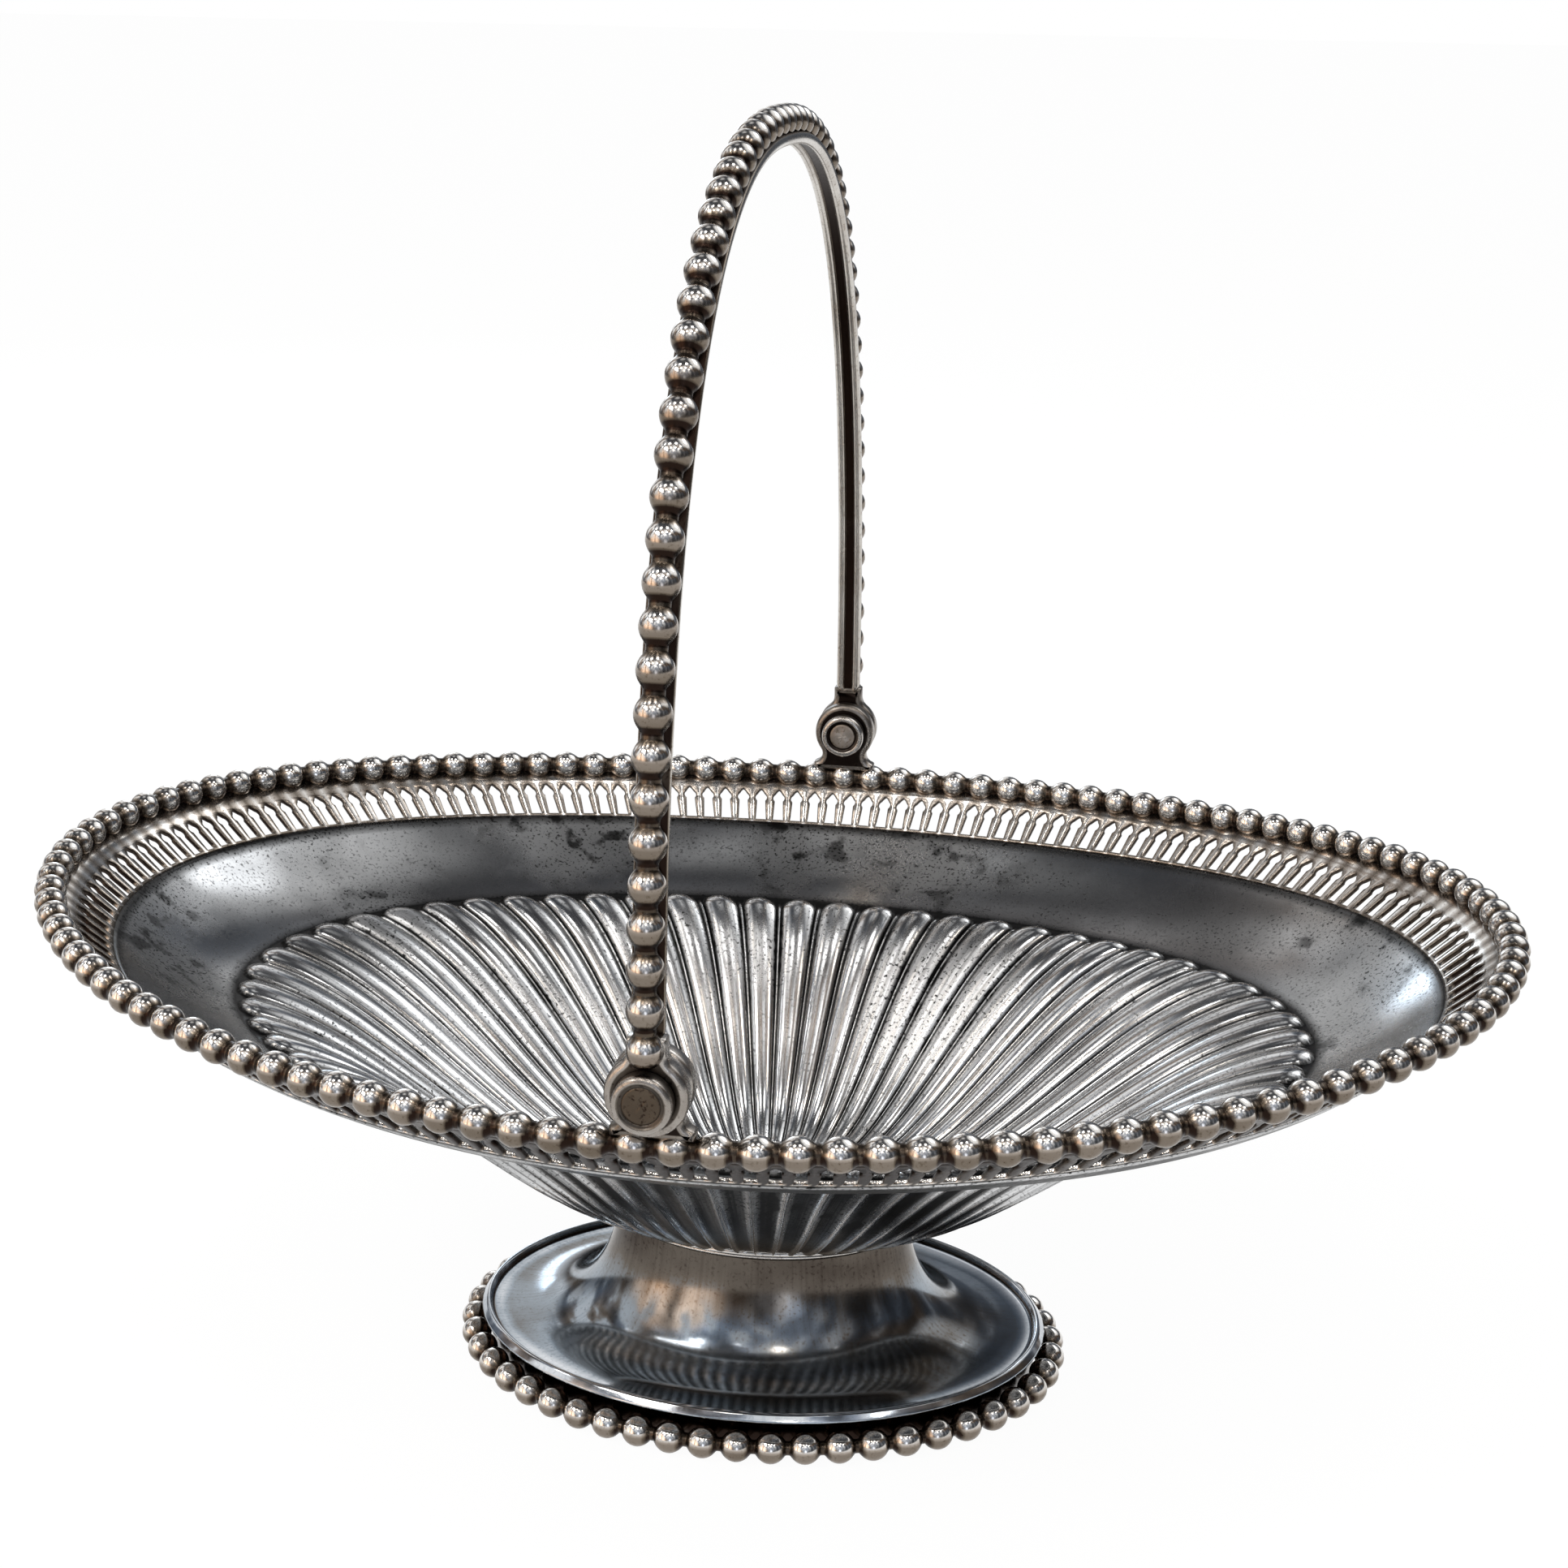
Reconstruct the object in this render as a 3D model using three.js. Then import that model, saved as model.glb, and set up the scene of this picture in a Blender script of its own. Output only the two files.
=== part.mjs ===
// Oval silver bread basket with a beaded swing handle.
// Millimetres. X runs along the length, Y across it, Z up. The origin is on the table,
// under the middle of the foot. "Front" is the -Y side and "rear" the +Y side.

import * as THREE from 'three';

// Rim, measured on the line through the bead centres. The two ends stand higher than the sides.
const RIM_HALF_LENGTH = 150;
const RIM_HALF_WIDTH = 107.3;
const RIM_HEIGHT = 97.3;
const RIM_RISE = 8.7;

// Beaded wire: one pattern for the rim, the foot and the handle
const BEAD_PITCH = 6.95;
const BEAD_RADIUS = 3.15;
const BEAD_NECK_RADIUS = 1.6;
const WIRE_SIDES = 6;

// Gap left between two soldered pieces
const SEAT_GAP = 0.3;

// Facets round the foot and the collar
const OVAL_COLUMNS = 36;

// Pierced gallery: the sloping strip between the crease of the bowl and the rim
const GALLERY_RUN_LENGTHWISE = 12.1;
const GALLERY_RUN_CROSSWISE = 10;
const GALLERY_DROP = 9.9;
const GALLERY_END_DROP = 0.8;
const GALLERY_SHEET = 1;
const SLOT_PITCH = 4.23;
const SLOT_WIDTH = 2.2;
const SLOT_HEIGHT = 8.2;
const SLOT_SILL = 0.7;

// Bowl: plain shoulder band, then flutes down to a flat oval floor
const BOWL_SHEET = 1.2;
const SHOULDER_RUN = 24.3;
const SHOULDER_DROP = 11.4;
const SHOULDER_SAG = 2.4;
const FLOOR_HALF_LENGTH = 32.4;
const FLOOR_HALF_WIDTH = 23;
const FLOOR_HEIGHT = 35.7;
const FLUTE_PITCH = 9.9;
const FLUTE_HEIGHT = 1.7;
const FLUTE_FLOOR_HEIGHT = 0.6;
// A flute's round back: how far in from each edge its shoulder lies, and how high that stands
const FLUTE_SHOULDER_AT = 0.2;
const FLUTE_SHOULDER_SHARE = 0.7;
// How the flutes leave the floor and reach their tips: length, width and height of each pull
const FLUTE_LEAVES_FLOOR = new THREE.Vector3(25.6, 16, 2.3);
const FLUTE_REACHES_TIP = new THREE.Vector3(33.6, 17, 4);

// Collar under the bowl
const COLLAR_HEIGHT = 2.2;
const COLLAR_SHOULDER = 0.9;
const COLLAR_REACH = 2;

// Foot: bead border on the table, rounded lip above it, trumpet neck
const FOOT_HALF_LENGTH = 63;
const FOOT_HALF_WIDTH = 46.8;
const FOOT_BEAD_LIFT = 0.2;
const FOOT_SHEET = 1.2;
const BASE_WALL = 2;
const LIP_INSET = 2.3;
const LIP_HEIGHT = 9.1;
const LIP_RADIUS = 1;
const DISH_WIDTH = 5.2;
const NECK_HALF_LENGTH = 31.5;
const NECK_HALF_WIDTH = 22.3;
const TRUMPET_LEAVES_NECK = new THREE.Vector3(1, 1, -11);
const TRUMPET_KNEE = 6.5;
const TRUMPET_SPANS = 5;
const UNDERSIDE_SPANS = 4;

// Hinges at the middle of the long sides
const PIVOT_ABOVE_SEAT = 8.15;
const LUG_THICKNESS = 4.2;
const LUG_RADIUS = 7.25;
const LUG_BASE_HALF_WIDTH = 7.4;
const LUG_BASE_HEIGHT = 1.2;
const LUG_WAIST_HALF_WIDTH = 5.4;
const LUG_FLARE_ANGLE = Math.PI / 6;
const EYE_THICKNESS = 4.2;
const EYE_RADIUS = 7.25;
const EYE_NECK_HALF_WIDTH = 3.5;
const EYE_NECK_TOP = 8.2;
const HINGE_GAP = 0.25;
const PIN_RADIUS = 3.2;
const PIN_CLEARANCE = 0.08;
const PIN_RECESS = 0.3;
const WASHER_RADIUS = 5.15;
const WASHER_THICKNESS = 3.2;
const WASHER_EDGE = 0.5;
const ROUND_SIDES = 20;

// Handle: an upright arch of beaded wire backed by a reeded strip
const HANDLE_REACH = 151.6;
const HANDLE_EXPONENT = 2.49;
const STRIP_HALF_WIDTH = 2.85;
const STRIP_FLANGE = 1;
const STRIP_THICKNESS = 2.4;
const STRIP_GROOVE = 0.9;
const STRIP_SPANS = 36;

// Share of a curve's length over which a direction is measured
const TINY_SHARE = 0.001;

const UP = new THREE.Vector3(0, 0, 1);
const LENGTHWISE = new THREE.Vector3(1, 0, 0);

// Oval line whose two ends stand higher. It starts at the middle of the front side.
class OvalCurve extends THREE.Curve {
  constructor({ halfLength, halfWidth, height, rise = 0 }) {
    super();
    this.halfLength = halfLength;
    this.halfWidth = halfWidth;
    this.height = height;
    this.rise = rise;
    this.arcLengthDivisions = 2000;
  }
  getPoint(u, target = new THREE.Vector3()) {
    const turn = 2 * Math.PI * u - Math.PI / 2;
    const endShare = Math.cos(turn) ** 2;
    return target.set(
      this.halfLength * Math.cos(turn),
      this.halfWidth * Math.sin(turn),
      this.height + this.rise * endShare,
    );
  }
}

// Arch in the YZ plane, from the front leg over the top to the rear leg, starting level with the pivot
class ArchCurve extends THREE.Curve {
  constructor(halfSpan, reach, squareness) {
    super();
    this.halfSpan = halfSpan;
    this.reach = reach;
    this.power = 2 / squareness;
    this.arcLengthDivisions = 4000;
  }
  getPoint(u, target = new THREE.Vector3()) {
    const turn = Math.PI * u;
    const across = Math.cos(turn);
    return target.set(
      0,
      -this.halfSpan * Math.sign(across) * Math.abs(across) ** this.power,
      this.reach * Math.abs(Math.sin(turn)) ** this.power,
    );
  }
}

// Turns the faces of a closed geometry outwards
function facingOut(positions, faces) {
  const [a, b, c] = [new THREE.Vector3(), new THREE.Vector3(), new THREE.Vector3()];
  let volume = 0;
  for (const [i, j, k] of faces) {
    a.copy(positions[i]);
    b.copy(positions[j]);
    c.copy(positions[k]);
    volume += a.dot(b.cross(c));
  }
  const outward = volume > 0 ? faces : faces.map(([i, j, k]) => [i, k, j]);
  const geometry = new THREE.BufferGeometry().setFromPoints(positions);
  geometry.setIndex(outward.flat());
  geometry.computeVertexNormals();
  return geometry;
}

// Skin over a row of rings that all have the same number of points. A closed row joins its last
// ring to its first; an open one gets an end cap round the middle of each end ring.
function skinOver(rings, closed) {
  const sides = rings[0].length;
  const positions = rings.flat();
  const faces = [];
  const spans = closed ? rings.length : rings.length - 1;
  for (let row = 0; row < spans; row += 1) {
    const next = (row + 1) % rings.length;
    for (let side = 0; side < sides; side += 1) {
      const beside = (side + 1) % sides;
      const [p, q] = [row * sides + side, row * sides + beside];
      const [r, s] = [next * sides + side, next * sides + beside];
      faces.push([p, q, r], [q, s, r]);
    }
  }
  if (!closed) {
    for (const [row, flip] of [[0, true], [rings.length - 1, false]]) {
      const middle = new THREE.Vector3();
      rings[row].forEach((point) => middle.addScaledVector(point, 1 / sides));
      positions.push(middle);
      for (let side = 0; side < sides; side += 1) {
        const [p, q] = [row * sides + side, row * sides + (side + 1) % sides];
        faces.push(flip ? [q, p, positions.length - 1] : [p, q, positions.length - 1]);
      }
    }
  }
  return facingOut(positions, faces);
}

// Oval ring whose section is a closed outline of { halfLength, halfWidth, height } corners
function ovalRing(section, columns) {
  const rings = section.map((corner) => {
    const oval = new OvalCurve(corner);
    return Array.from({ length: columns }, (_, i) => oval.getPoint(i / columns));
  });
  return skinOver(rings, true);
}

// Beaded wire along a curve between two shares of its length. sideways is square to the curve.
// A closed wire starts between two beads, an open one starts and ends halfway through a bead.
function beadedWire(curve, sideways, start, end, closed) {
  const length = curve.getLength() * (end - start);
  const beads = Math.round(length / BEAD_PITCH);
  const stations = closed ? 2 * beads : 2 * beads + 1;
  const rings = Array.from({ length: stations }, (_, station) => {
    const share = start + (end - start) * station / (2 * beads);
    const wide = (station % 2 === 0) !== closed;
    const radius = wide ? BEAD_RADIUS : BEAD_NECK_RADIUS;
    return wireSection(curve, sideways, share, radius, closed ? 0 : 0.5);
  });
  return skinOver(rings, closed);
}

// One cross-section of a wire. twist is a share of a side, and turns a flat or a corner outwards.
function wireSection(curve, sideways, share, radius, twist) {
  const centre = curve.getPointAt(share);
  const inward = new THREE.Vector3().crossVectors(curve.getTangentAt(share), sideways).normalize();
  return Array.from({ length: WIRE_SIDES }, (_, side) => {
    const angle = 2 * Math.PI * (side + twist) / WIRE_SIDES;
    return centre.clone()
      .addScaledVector(inward, radius * Math.cos(angle))
      .addScaledVector(sideways, radius * Math.sin(angle));
  });
}

function silver(color, roughness) {
  return new THREE.MeshStandardMaterial({ color, roughness, metalness: 1 });
}

function piece(name, geometry, material) {
  const mesh = new THREE.Mesh(geometry, material);
  mesh.name = name;
  return mesh;
}

// Bowl surface

const crease = {
  halfLength: RIM_HALF_LENGTH - GALLERY_RUN_LENGTHWISE,
  halfWidth: RIM_HALF_WIDTH - GALLERY_RUN_CROSSWISE,
  height: RIM_HEIGHT - GALLERY_DROP,
  rise: RIM_RISE - GALLERY_END_DROP,
};

// The bowl's upper surface is a family of ovals. Each is a point (half length, half width, height)
// of these two curves: the flutes from the floor to their tips, then the shoulder to the crease.
const floorEdge = new THREE.Vector3(FLOOR_HALF_LENGTH, FLOOR_HALF_WIDTH, FLOOR_HEIGHT);
const creaseEdge = new THREE.Vector3(crease.halfLength, crease.halfWidth, crease.height);
const fluteTips = creaseEdge.clone()
  .sub(new THREE.Vector3(SHOULDER_RUN, SHOULDER_RUN, SHOULDER_DROP));
const shoulderMiddle = fluteTips.clone().lerp(creaseEdge, 0.5);
shoulderMiddle.z -= SHOULDER_SAG;
const fluteCurve = new THREE.CubicBezierCurve3(
  floorEdge,
  floorEdge.clone().add(FLUTE_LEAVES_FLOOR),
  fluteTips.clone().sub(FLUTE_REACHES_TIP),
  fluteTips,
);
const shoulderCurve = new THREE.QuadraticBezierCurve3(fluteTips, shoulderMiddle, creaseEdge);

// Oval of the bowl's upper surface. level runs 0 to 1 over the flutes and 1 to 2 over the shoulder.
function bowlOval(level) {
  const curve = level <= 1 ? fluteCurve : shoulderCurve;
  const at = curve.getPoint(level <= 1 ? level : level - 1);
  const climb = (at.z - FLOOR_HEIGHT) / (crease.height - FLOOR_HEIGHT);
  return new OvalCurve({
    halfLength: at.x,
    halfWidth: at.y,
    height: at.z,
    rise: crease.rise * climb ** 3,
  });
}

function bowlNormal(level, u) {
  if (level === 0) {
    return UP.clone();
  }
  const oval = bowlOval(level);
  const along = oval.getPoint(u + TINY_SHARE).sub(oval.getPoint(u - TINY_SHARE));
  const outer = bowlOval(Math.min(level + TINY_SHARE, 2)).getPoint(u);
  const outwards = outer.sub(bowlOval(level - TINY_SHARE).getPoint(u));
  return outwards.cross(along).normalize();
}

function makeBowl() {
  const tips = bowlOval(1);
  const flutes = Math.round(tips.getLength() / FLUTE_PITCH);
  // Across one flute: the valley, a shoulder, the middle of its back and the other shoulder
  const across = [0, FLUTE_SHOULDER_AT, 0.5, 1 - FLUTE_SHOULDER_AT];
  const columns = Array.from({ length: flutes }, (_, flute) => across.map((share) => ({
    share,
    turn: tips.getUtoTmapping((flute + share) / flutes),
  }))).flat();
  // Levels of the rings, and the shares of a flute's height that its back and shoulders reach there.
  // The flutes start and end in the plain metal, with round ends.
  const levels = [
    { level: 0, back: 0, shoulder: 0 },
    { level: 0.08, back: 1, shoulder: FLUTE_SHOULDER_SHARE },
    { level: 0.4, back: 1, shoulder: FLUTE_SHOULDER_SHARE },
    { level: 0.7, back: 1, shoulder: FLUTE_SHOULDER_SHARE },
    { level: 0.93, back: 1, shoulder: FLUTE_SHOULDER_SHARE },
    { level: 0.975, back: 0.8, shoulder: 0.2 },
    { level: 1, back: 0, shoulder: 0 },
    { level: 1.5, back: 0, shoulder: 0 },
    { level: 2, back: 0, shoulder: 0 },
  ];
  const ringAt = ({ level, back, shoulder }, depth) => {
    const oval = bowlOval(level);
    const height = FLUTE_FLOOR_HEIGHT + (FLUTE_HEIGHT - FLUTE_FLOOR_HEIGHT) * Math.min(level, 1);
    const heights = { 0: 0, 0.5: height * back };
    return columns.map(({ share, turn }) => {
      const lift = (heights[share] ?? height * shoulder) - depth;
      return oval.getPoint(turn).addScaledVector(bowlNormal(level, turn), lift);
    });
  };
  const upper = levels.map((entry) => ringAt(entry, 0));
  const under = levels.map((entry) => ringAt(entry, BOWL_SHEET));
  return skinOver([...upper, ...under.reverse()], false);
}

// Pierced gallery

const rim = new OvalCurve({
  halfLength: RIM_HALF_LENGTH,
  halfWidth: RIM_HALF_WIDTH,
  height: RIM_HEIGHT,
  rise: RIM_RISE,
});

function makeGallery() {
  const foot = new OvalCurve(crease);
  const slots = Math.round(foot.getLength() / SLOT_PITCH);
  const slotShare = SLOT_WIDTH / (foot.getLength() / slots);
  const cutStart = (1 - slotShare) / 2;
  const sill = SEAT_GAP + SLOT_SILL;
  // A point on the strip: share of the way round, height up the slope, and depth into the sheet
  const stripPoint = (share, up, depth) => {
    const u = foot.getUtoTmapping(share % 1);
    const low = foot.getPoint(u);
    const slope = rim.getPoint(u).sub(low);
    const top = slope.length() - BEAD_RADIUS - SEAT_GAP;
    slope.normalize();
    const along = foot.getPoint(u + TINY_SHARE).sub(foot.getPoint(u - TINY_SHARE));
    const outwards = along.cross(slope).normalize();
    return low.addScaledVector(slope, Math.min(up, top)).addScaledVector(outwards, depth);
  };
  const wholeSlope = Infinity;
  const positions = [];
  const faces = [];
  const corners = Array.from({ length: slots }, (_, slot) => {
    const places = {
      low: [0.5, SEAT_GAP],
      sillStart: [cutStart, sill],
      sillEnd: [1 - cutStart, sill],
      topStart: [cutStart, sill + SLOT_HEIGHT],
      topEnd: [1 - cutStart, sill + SLOT_HEIGHT],
      high: [0.5, wholeSlope],
    };
    const made = {};
    for (const [corner, [share, up]] of Object.entries(places)) {
      made[corner] = [0, GALLERY_SHEET].map((depth) => {
        positions.push(stripPoint((slot + share) / slots, up, depth));
        return positions.length - 1;
      });
    }
    return made;
  });
  corners.forEach((here, slot) => {
    const next = corners[(slot + 1) % slots];
    const skins = [
      [here.low, here.sillEnd, here.sillStart],
      [here.low, next.low, here.sillEnd],
      [next.low, next.sillStart, here.sillEnd],
      [here.sillEnd, next.sillStart, next.topStart],
      [here.sillEnd, next.topStart, here.topEnd],
      [here.topStart, here.topEnd, here.high],
      [here.topEnd, next.high, here.high],
      [here.topEnd, next.topStart, next.high],
    ];
    for (const [p, q, r] of skins) {
      faces.push([p[0], r[0], q[0]], [p[1], q[1], r[1]]);
    }
    const edges = [
      [here.sillStart, here.sillEnd],
      [here.sillEnd, here.topEnd],
      [here.topEnd, here.topStart],
      [here.topStart, here.sillStart],
      [next.low, here.low],
      [here.high, next.high],
    ];
    for (const [p, q] of edges) {
      faces.push([p[0], p[1], q[0]], [q[0], p[1], q[1]]);
    }
  });
  return facingOut(positions, faces);
}

// Foot and collar

const bowlSeat = FLOOR_HEIGHT - BOWL_SHEET;
const neckTop = bowlSeat - SEAT_GAP;

// Corner of a section, out from the neck's own oval
function besideNeck(out, height) {
  return { halfLength: NECK_HALF_LENGTH + out, halfWidth: NECK_HALF_WIDTH + out, height };
}

function makeCollar() {
  const inside = SEAT_GAP;
  const outside = SEAT_GAP + COLLAR_REACH;
  const lower = outside - COLLAR_SHOULDER;
  // A round moulding fills the upper half of the height, then come a hollow and a chamfer
  const eighth = COLLAR_HEIGHT / 8;
  const round = 2 * eighth;
  return ovalRing([
    besideNeck(inside, neckTop),
    besideNeck(outside - round, neckTop),
    besideNeck(outside, neckTop - round),
    besideNeck(outside - round, neckTop - 4 * eighth),
    besideNeck(lower, neckTop - 5 * eighth),
    besideNeck(lower, neckTop - 7 * eighth),
    besideNeck(lower - round, neckTop - COLLAR_HEIGHT),
    besideNeck(inside, neckTop - COLLAR_HEIGHT),
  ], OVAL_COLUMNS);
}

// Corner of a section, in from the foot's bead line
function insideFoot(inset, height) {
  return { halfLength: FOOT_HALF_LENGTH - inset, halfWidth: FOOT_HALF_WIDTH - inset, height };
}

function makeFoot() {
  const wallOuter = BEAD_RADIUS + SEAT_GAP;
  const wallInner = wallOuter + BASE_WALL;
  const dishInner = LIP_INSET + DISH_WIDTH;
  const dishFloor = LIP_HEIGHT - LIP_RADIUS;
  const asPoint = ({ halfLength, halfWidth, height }) => new THREE.Vector3(halfLength, halfWidth, height);
  const asCorner = ({ x, y, z }) => ({ halfLength: x, halfWidth: y, height: z });
  // The neck runs straight through the collar, then the trumpet flares down to the dish
  const neck = asPoint(besideNeck(0, neckTop - COLLAR_HEIGHT));
  const dish = asPoint(insideFoot(dishInner, dishFloor));
  const trumpet = new THREE.CubicBezierCurve3(
    neck,
    neck.clone().add(TRUMPET_LEAVES_NECK),
    new THREE.Vector3(neck.x + TRUMPET_KNEE, neck.y + TRUMPET_KNEE, dishFloor),
    dish,
  );
  const outer = trumpet.getPoints(TRUMPET_SPANS).map(asCorner);
  // The underside follows at one sheet's depth, turning from downwards at the dish to inwards at the neck
  const inner = trumpet.getPoints(UNDERSIDE_SPANS).reverse().map((point, i, all) => {
    const turn = (Math.PI / 2) * (i / (all.length - 1));
    const inwards = FOOT_SHEET * Math.sin(turn);
    const downwards = FOOT_SHEET * Math.cos(turn);
    return asCorner(new THREE.Vector3(point.x - inwards, point.y - inwards, point.z - downwards));
  });
  return ovalRing([
    besideNeck(0, neckTop),
    ...outer,
    insideFoot(LIP_INSET + LIP_RADIUS, dishFloor + LIP_RADIUS / 2),
    insideFoot(LIP_INSET, LIP_HEIGHT + LIP_RADIUS / 2),
    insideFoot(LIP_INSET - LIP_RADIUS, dishFloor + LIP_RADIUS / 2),
    insideFoot(LIP_INSET - LIP_RADIUS / 2, dishFloor - LIP_RADIUS / 2),
    insideFoot(wallOuter, dishFloor - LIP_RADIUS),
    insideFoot(wallOuter, 0),
    insideFoot(wallInner, 0),
    insideFoot(wallInner, dishFloor - FOOT_SHEET - LIP_RADIUS / 2),
    ...inner,
    besideNeck(-FOOT_SHEET, neckTop),
  ], OVAL_COLUMNS);
}

// Hinges and handle. Distances out from the middle plane, the same at the front and the rear.

// The lug stands on the beads of the rim, the handle's eye lies against its outer side, and a
// washer closes the stack at each end.
const seatHeight = RIM_HEIGHT + BEAD_RADIUS + SEAT_GAP;
const pivotHeight = seatHeight + PIVOT_ABOVE_SEAT;
const lugInner = RIM_HALF_WIDTH - LUG_THICKNESS / 2;
const lugOuter = lugInner + LUG_THICKNESS;
const eyeInner = lugOuter + HINGE_GAP;
const eyeOuter = eyeInner + EYE_THICKNESS;
const innerWasherEnd = lugInner - WASHER_THICKNESS;
const outerWasherStart = eyeOuter + HINGE_GAP;
const outerWasherEnd = outerWasherStart + WASHER_THICKNESS;

// A faceted hole clears the faceted pin at every angle
const boreRadius = (PIN_RADIUS + PIN_CLEARANCE) / Math.cos(Math.PI / ROUND_SIDES);

function boreHole() {
  return new THREE.Path().absarc(0, 0, boreRadius, 0, 2 * Math.PI, true);
}

// Plate cut from an outline in X and Z, standing square to Y, between two distances from the middle
function plate(outline, near, far, side) {
  const geometry = new THREE.ExtrudeGeometry(outline, {
    depth: far - near,
    bevelEnabled: false,
    curveSegments: ROUND_SIDES / 2,
  });
  geometry.rotateX(Math.PI / 2);
  geometry.translate(0, side < 0 ? -near : far, 0);
  return geometry;
}

function lugOutline() {
  const outline = new THREE.Shape();
  const bottom = -PIVOT_ABOVE_SEAT;
  const baseTop = bottom + LUG_BASE_HEIGHT;
  const flare = {
    x: LUG_RADIUS * Math.cos(LUG_FLARE_ANGLE),
    y: -LUG_RADIUS * Math.sin(LUG_FLARE_ANGLE),
  };
  const waistHeight = (baseTop + flare.y) / 2;
  outline.moveTo(-LUG_BASE_HALF_WIDTH, bottom);
  outline.lineTo(LUG_BASE_HALF_WIDTH, bottom);
  outline.lineTo(LUG_BASE_HALF_WIDTH, baseTop);
  outline.lineTo(LUG_WAIST_HALF_WIDTH, waistHeight);
  outline.lineTo(flare.x, flare.y);
  outline.absarc(0, 0, LUG_RADIUS, -LUG_FLARE_ANGLE, Math.PI + LUG_FLARE_ANGLE, false);
  outline.lineTo(-LUG_WAIST_HALF_WIDTH, waistHeight);
  outline.lineTo(-LUG_BASE_HALF_WIDTH, baseTop);
  outline.closePath();
  outline.holes.push(boreHole());
  return outline;
}

function eyeOutline() {
  const outline = new THREE.Shape();
  const neckAngle = Math.acos(EYE_NECK_HALF_WIDTH / EYE_RADIUS);
  outline.moveTo(EYE_NECK_HALF_WIDTH, EYE_NECK_TOP);
  outline.lineTo(-EYE_NECK_HALF_WIDTH, EYE_NECK_TOP);
  outline.absarc(0, 0, EYE_RADIUS, Math.PI - neckAngle, neckAngle, false);
  outline.closePath();
  outline.holes.push(boreHole());
  return outline;
}

function makePin(side) {
  const outerEnd = outerWasherEnd - PIN_RECESS;
  const innerEnd = innerWasherEnd + PIN_RECESS;
  const geometry = new THREE.CylinderGeometry(PIN_RADIUS, PIN_RADIUS, outerEnd - innerEnd, ROUND_SIDES);
  geometry.translate(0, side * (outerEnd + innerEnd) / 2, 0);
  return geometry;
}

function makeWasher(near, far, side) {
  const half = (far - near) / 2;
  const section = [
    new THREE.Vector2(boreRadius, -half),
    new THREE.Vector2(WASHER_RADIUS - WASHER_EDGE, -half),
    new THREE.Vector2(WASHER_RADIUS, WASHER_EDGE - half),
    new THREE.Vector2(WASHER_RADIUS, half - WASHER_EDGE),
    new THREE.Vector2(WASHER_RADIUS - WASHER_EDGE, half),
    new THREE.Vector2(boreRadius, half),
    new THREE.Vector2(boreRadius, -half),
  ];
  const geometry = new THREE.LatheGeometry(section, ROUND_SIDES);
  geometry.translate(0, side * (near + far) / 2, 0);
  return geometry;
}

// The bead line of the handle runs up from the outer side of the eyes. Beads and strip start at legStart.
const arch = new ArchCurve(eyeOuter, HANDLE_REACH, HANDLE_EXPONENT);
const legStart = EYE_NECK_TOP + SEAT_GAP;
const wireBack = BEAD_RADIUS * Math.cos(Math.PI / WIRE_SIDES);

function makeHandleBeads() {
  const start = legStart / arch.getLength();
  return beadedWire(arch, LENGTHWISE, start, 1 - start, false);
}

// Reeded strip: flat against the beads, with two reeds and a groove between them on the inner face
function makeHandleStrip() {
  const start = legStart / arch.getLength();
  const reed = STRIP_HALF_WIDTH / 2;
  const section = [
    [-STRIP_HALF_WIDTH, 0],
    [STRIP_HALF_WIDTH, 0],
    [STRIP_HALF_WIDTH, STRIP_FLANGE],
    [reed, STRIP_THICKNESS],
    [0, STRIP_THICKNESS - STRIP_GROOVE],
    [-reed, STRIP_THICKNESS],
    [-STRIP_HALF_WIDTH, STRIP_FLANGE],
  ];
  const rings = Array.from({ length: STRIP_SPANS + 1 }, (_, span) => {
    const share = start + (1 - 2 * start) * span / STRIP_SPANS;
    const centre = arch.getPointAt(share);
    const inward = new THREE.Vector3().crossVectors(arch.getTangentAt(share), LENGTHWISE).normalize();
    return section.map(([across, depth]) => centre.clone()
      .addScaledVector(LENGTHWISE, across)
      .addScaledVector(inward, wireBack + SEAT_GAP + depth));
  });
  return skinOver(rings, false);
}

// Assembly

const basket = new THREE.Group();
const body = new THREE.Group();
const hinges = new THREE.Group();
const handle = new THREE.Group();
hinges.position.z = pivotHeight;
handle.position.z = pivotHeight;
basket.add(body, hinges, handle);

const footBeadHeight = BEAD_RADIUS + FOOT_BEAD_LIFT;
const footBeadLine = new OvalCurve(insideFoot(0, footBeadHeight));

body.add(
  piece('basket_bowl', makeBowl(), silver(0xa8a6a2, 0.28)),
  piece('pierced_gallery', makeGallery(), silver(0xb4afa6, 0.3)),
  piece('rim_bead_border', beadedWire(rim, UP, 0, 1, true), silver(0xc2bdb4, 0.24)),
  piece('bowl_collar', makeCollar(), silver(0x9a958c, 0.3)),
  piece('pedestal_foot', makeFoot(), silver(0x8f8d8c, 0.18)),
  piece('foot_bead_border', beadedWire(footBeadLine, UP, 0, 1, true), silver(0xb8b3aa, 0.26)),
);

for (const [end, side] of [['front', -1], ['rear', 1]]) {
  hinges.add(
    piece(`hinge_lug_${end}`, plate(lugOutline(), lugInner, lugOuter, side), silver(0xaaa59c, 0.3)),
    piece(`hinge_pin_${end}`, makePin(side), silver(0x8e8a84, 0.34)),
    piece(
      `outer_washer_${end}`,
      makeWasher(outerWasherStart, outerWasherEnd, side),
      silver(0xb2ada4, 0.28),
    ),
    piece(`inner_washer_${end}`, makeWasher(innerWasherEnd, lugInner, side), silver(0xb2ada4, 0.28)),
  );
  handle.add(
    piece(`handle_eye_${end}`, plate(eyeOutline(), eyeInner, eyeOuter, side), silver(0xaaa59c, 0.3)),
  );
}

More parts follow.
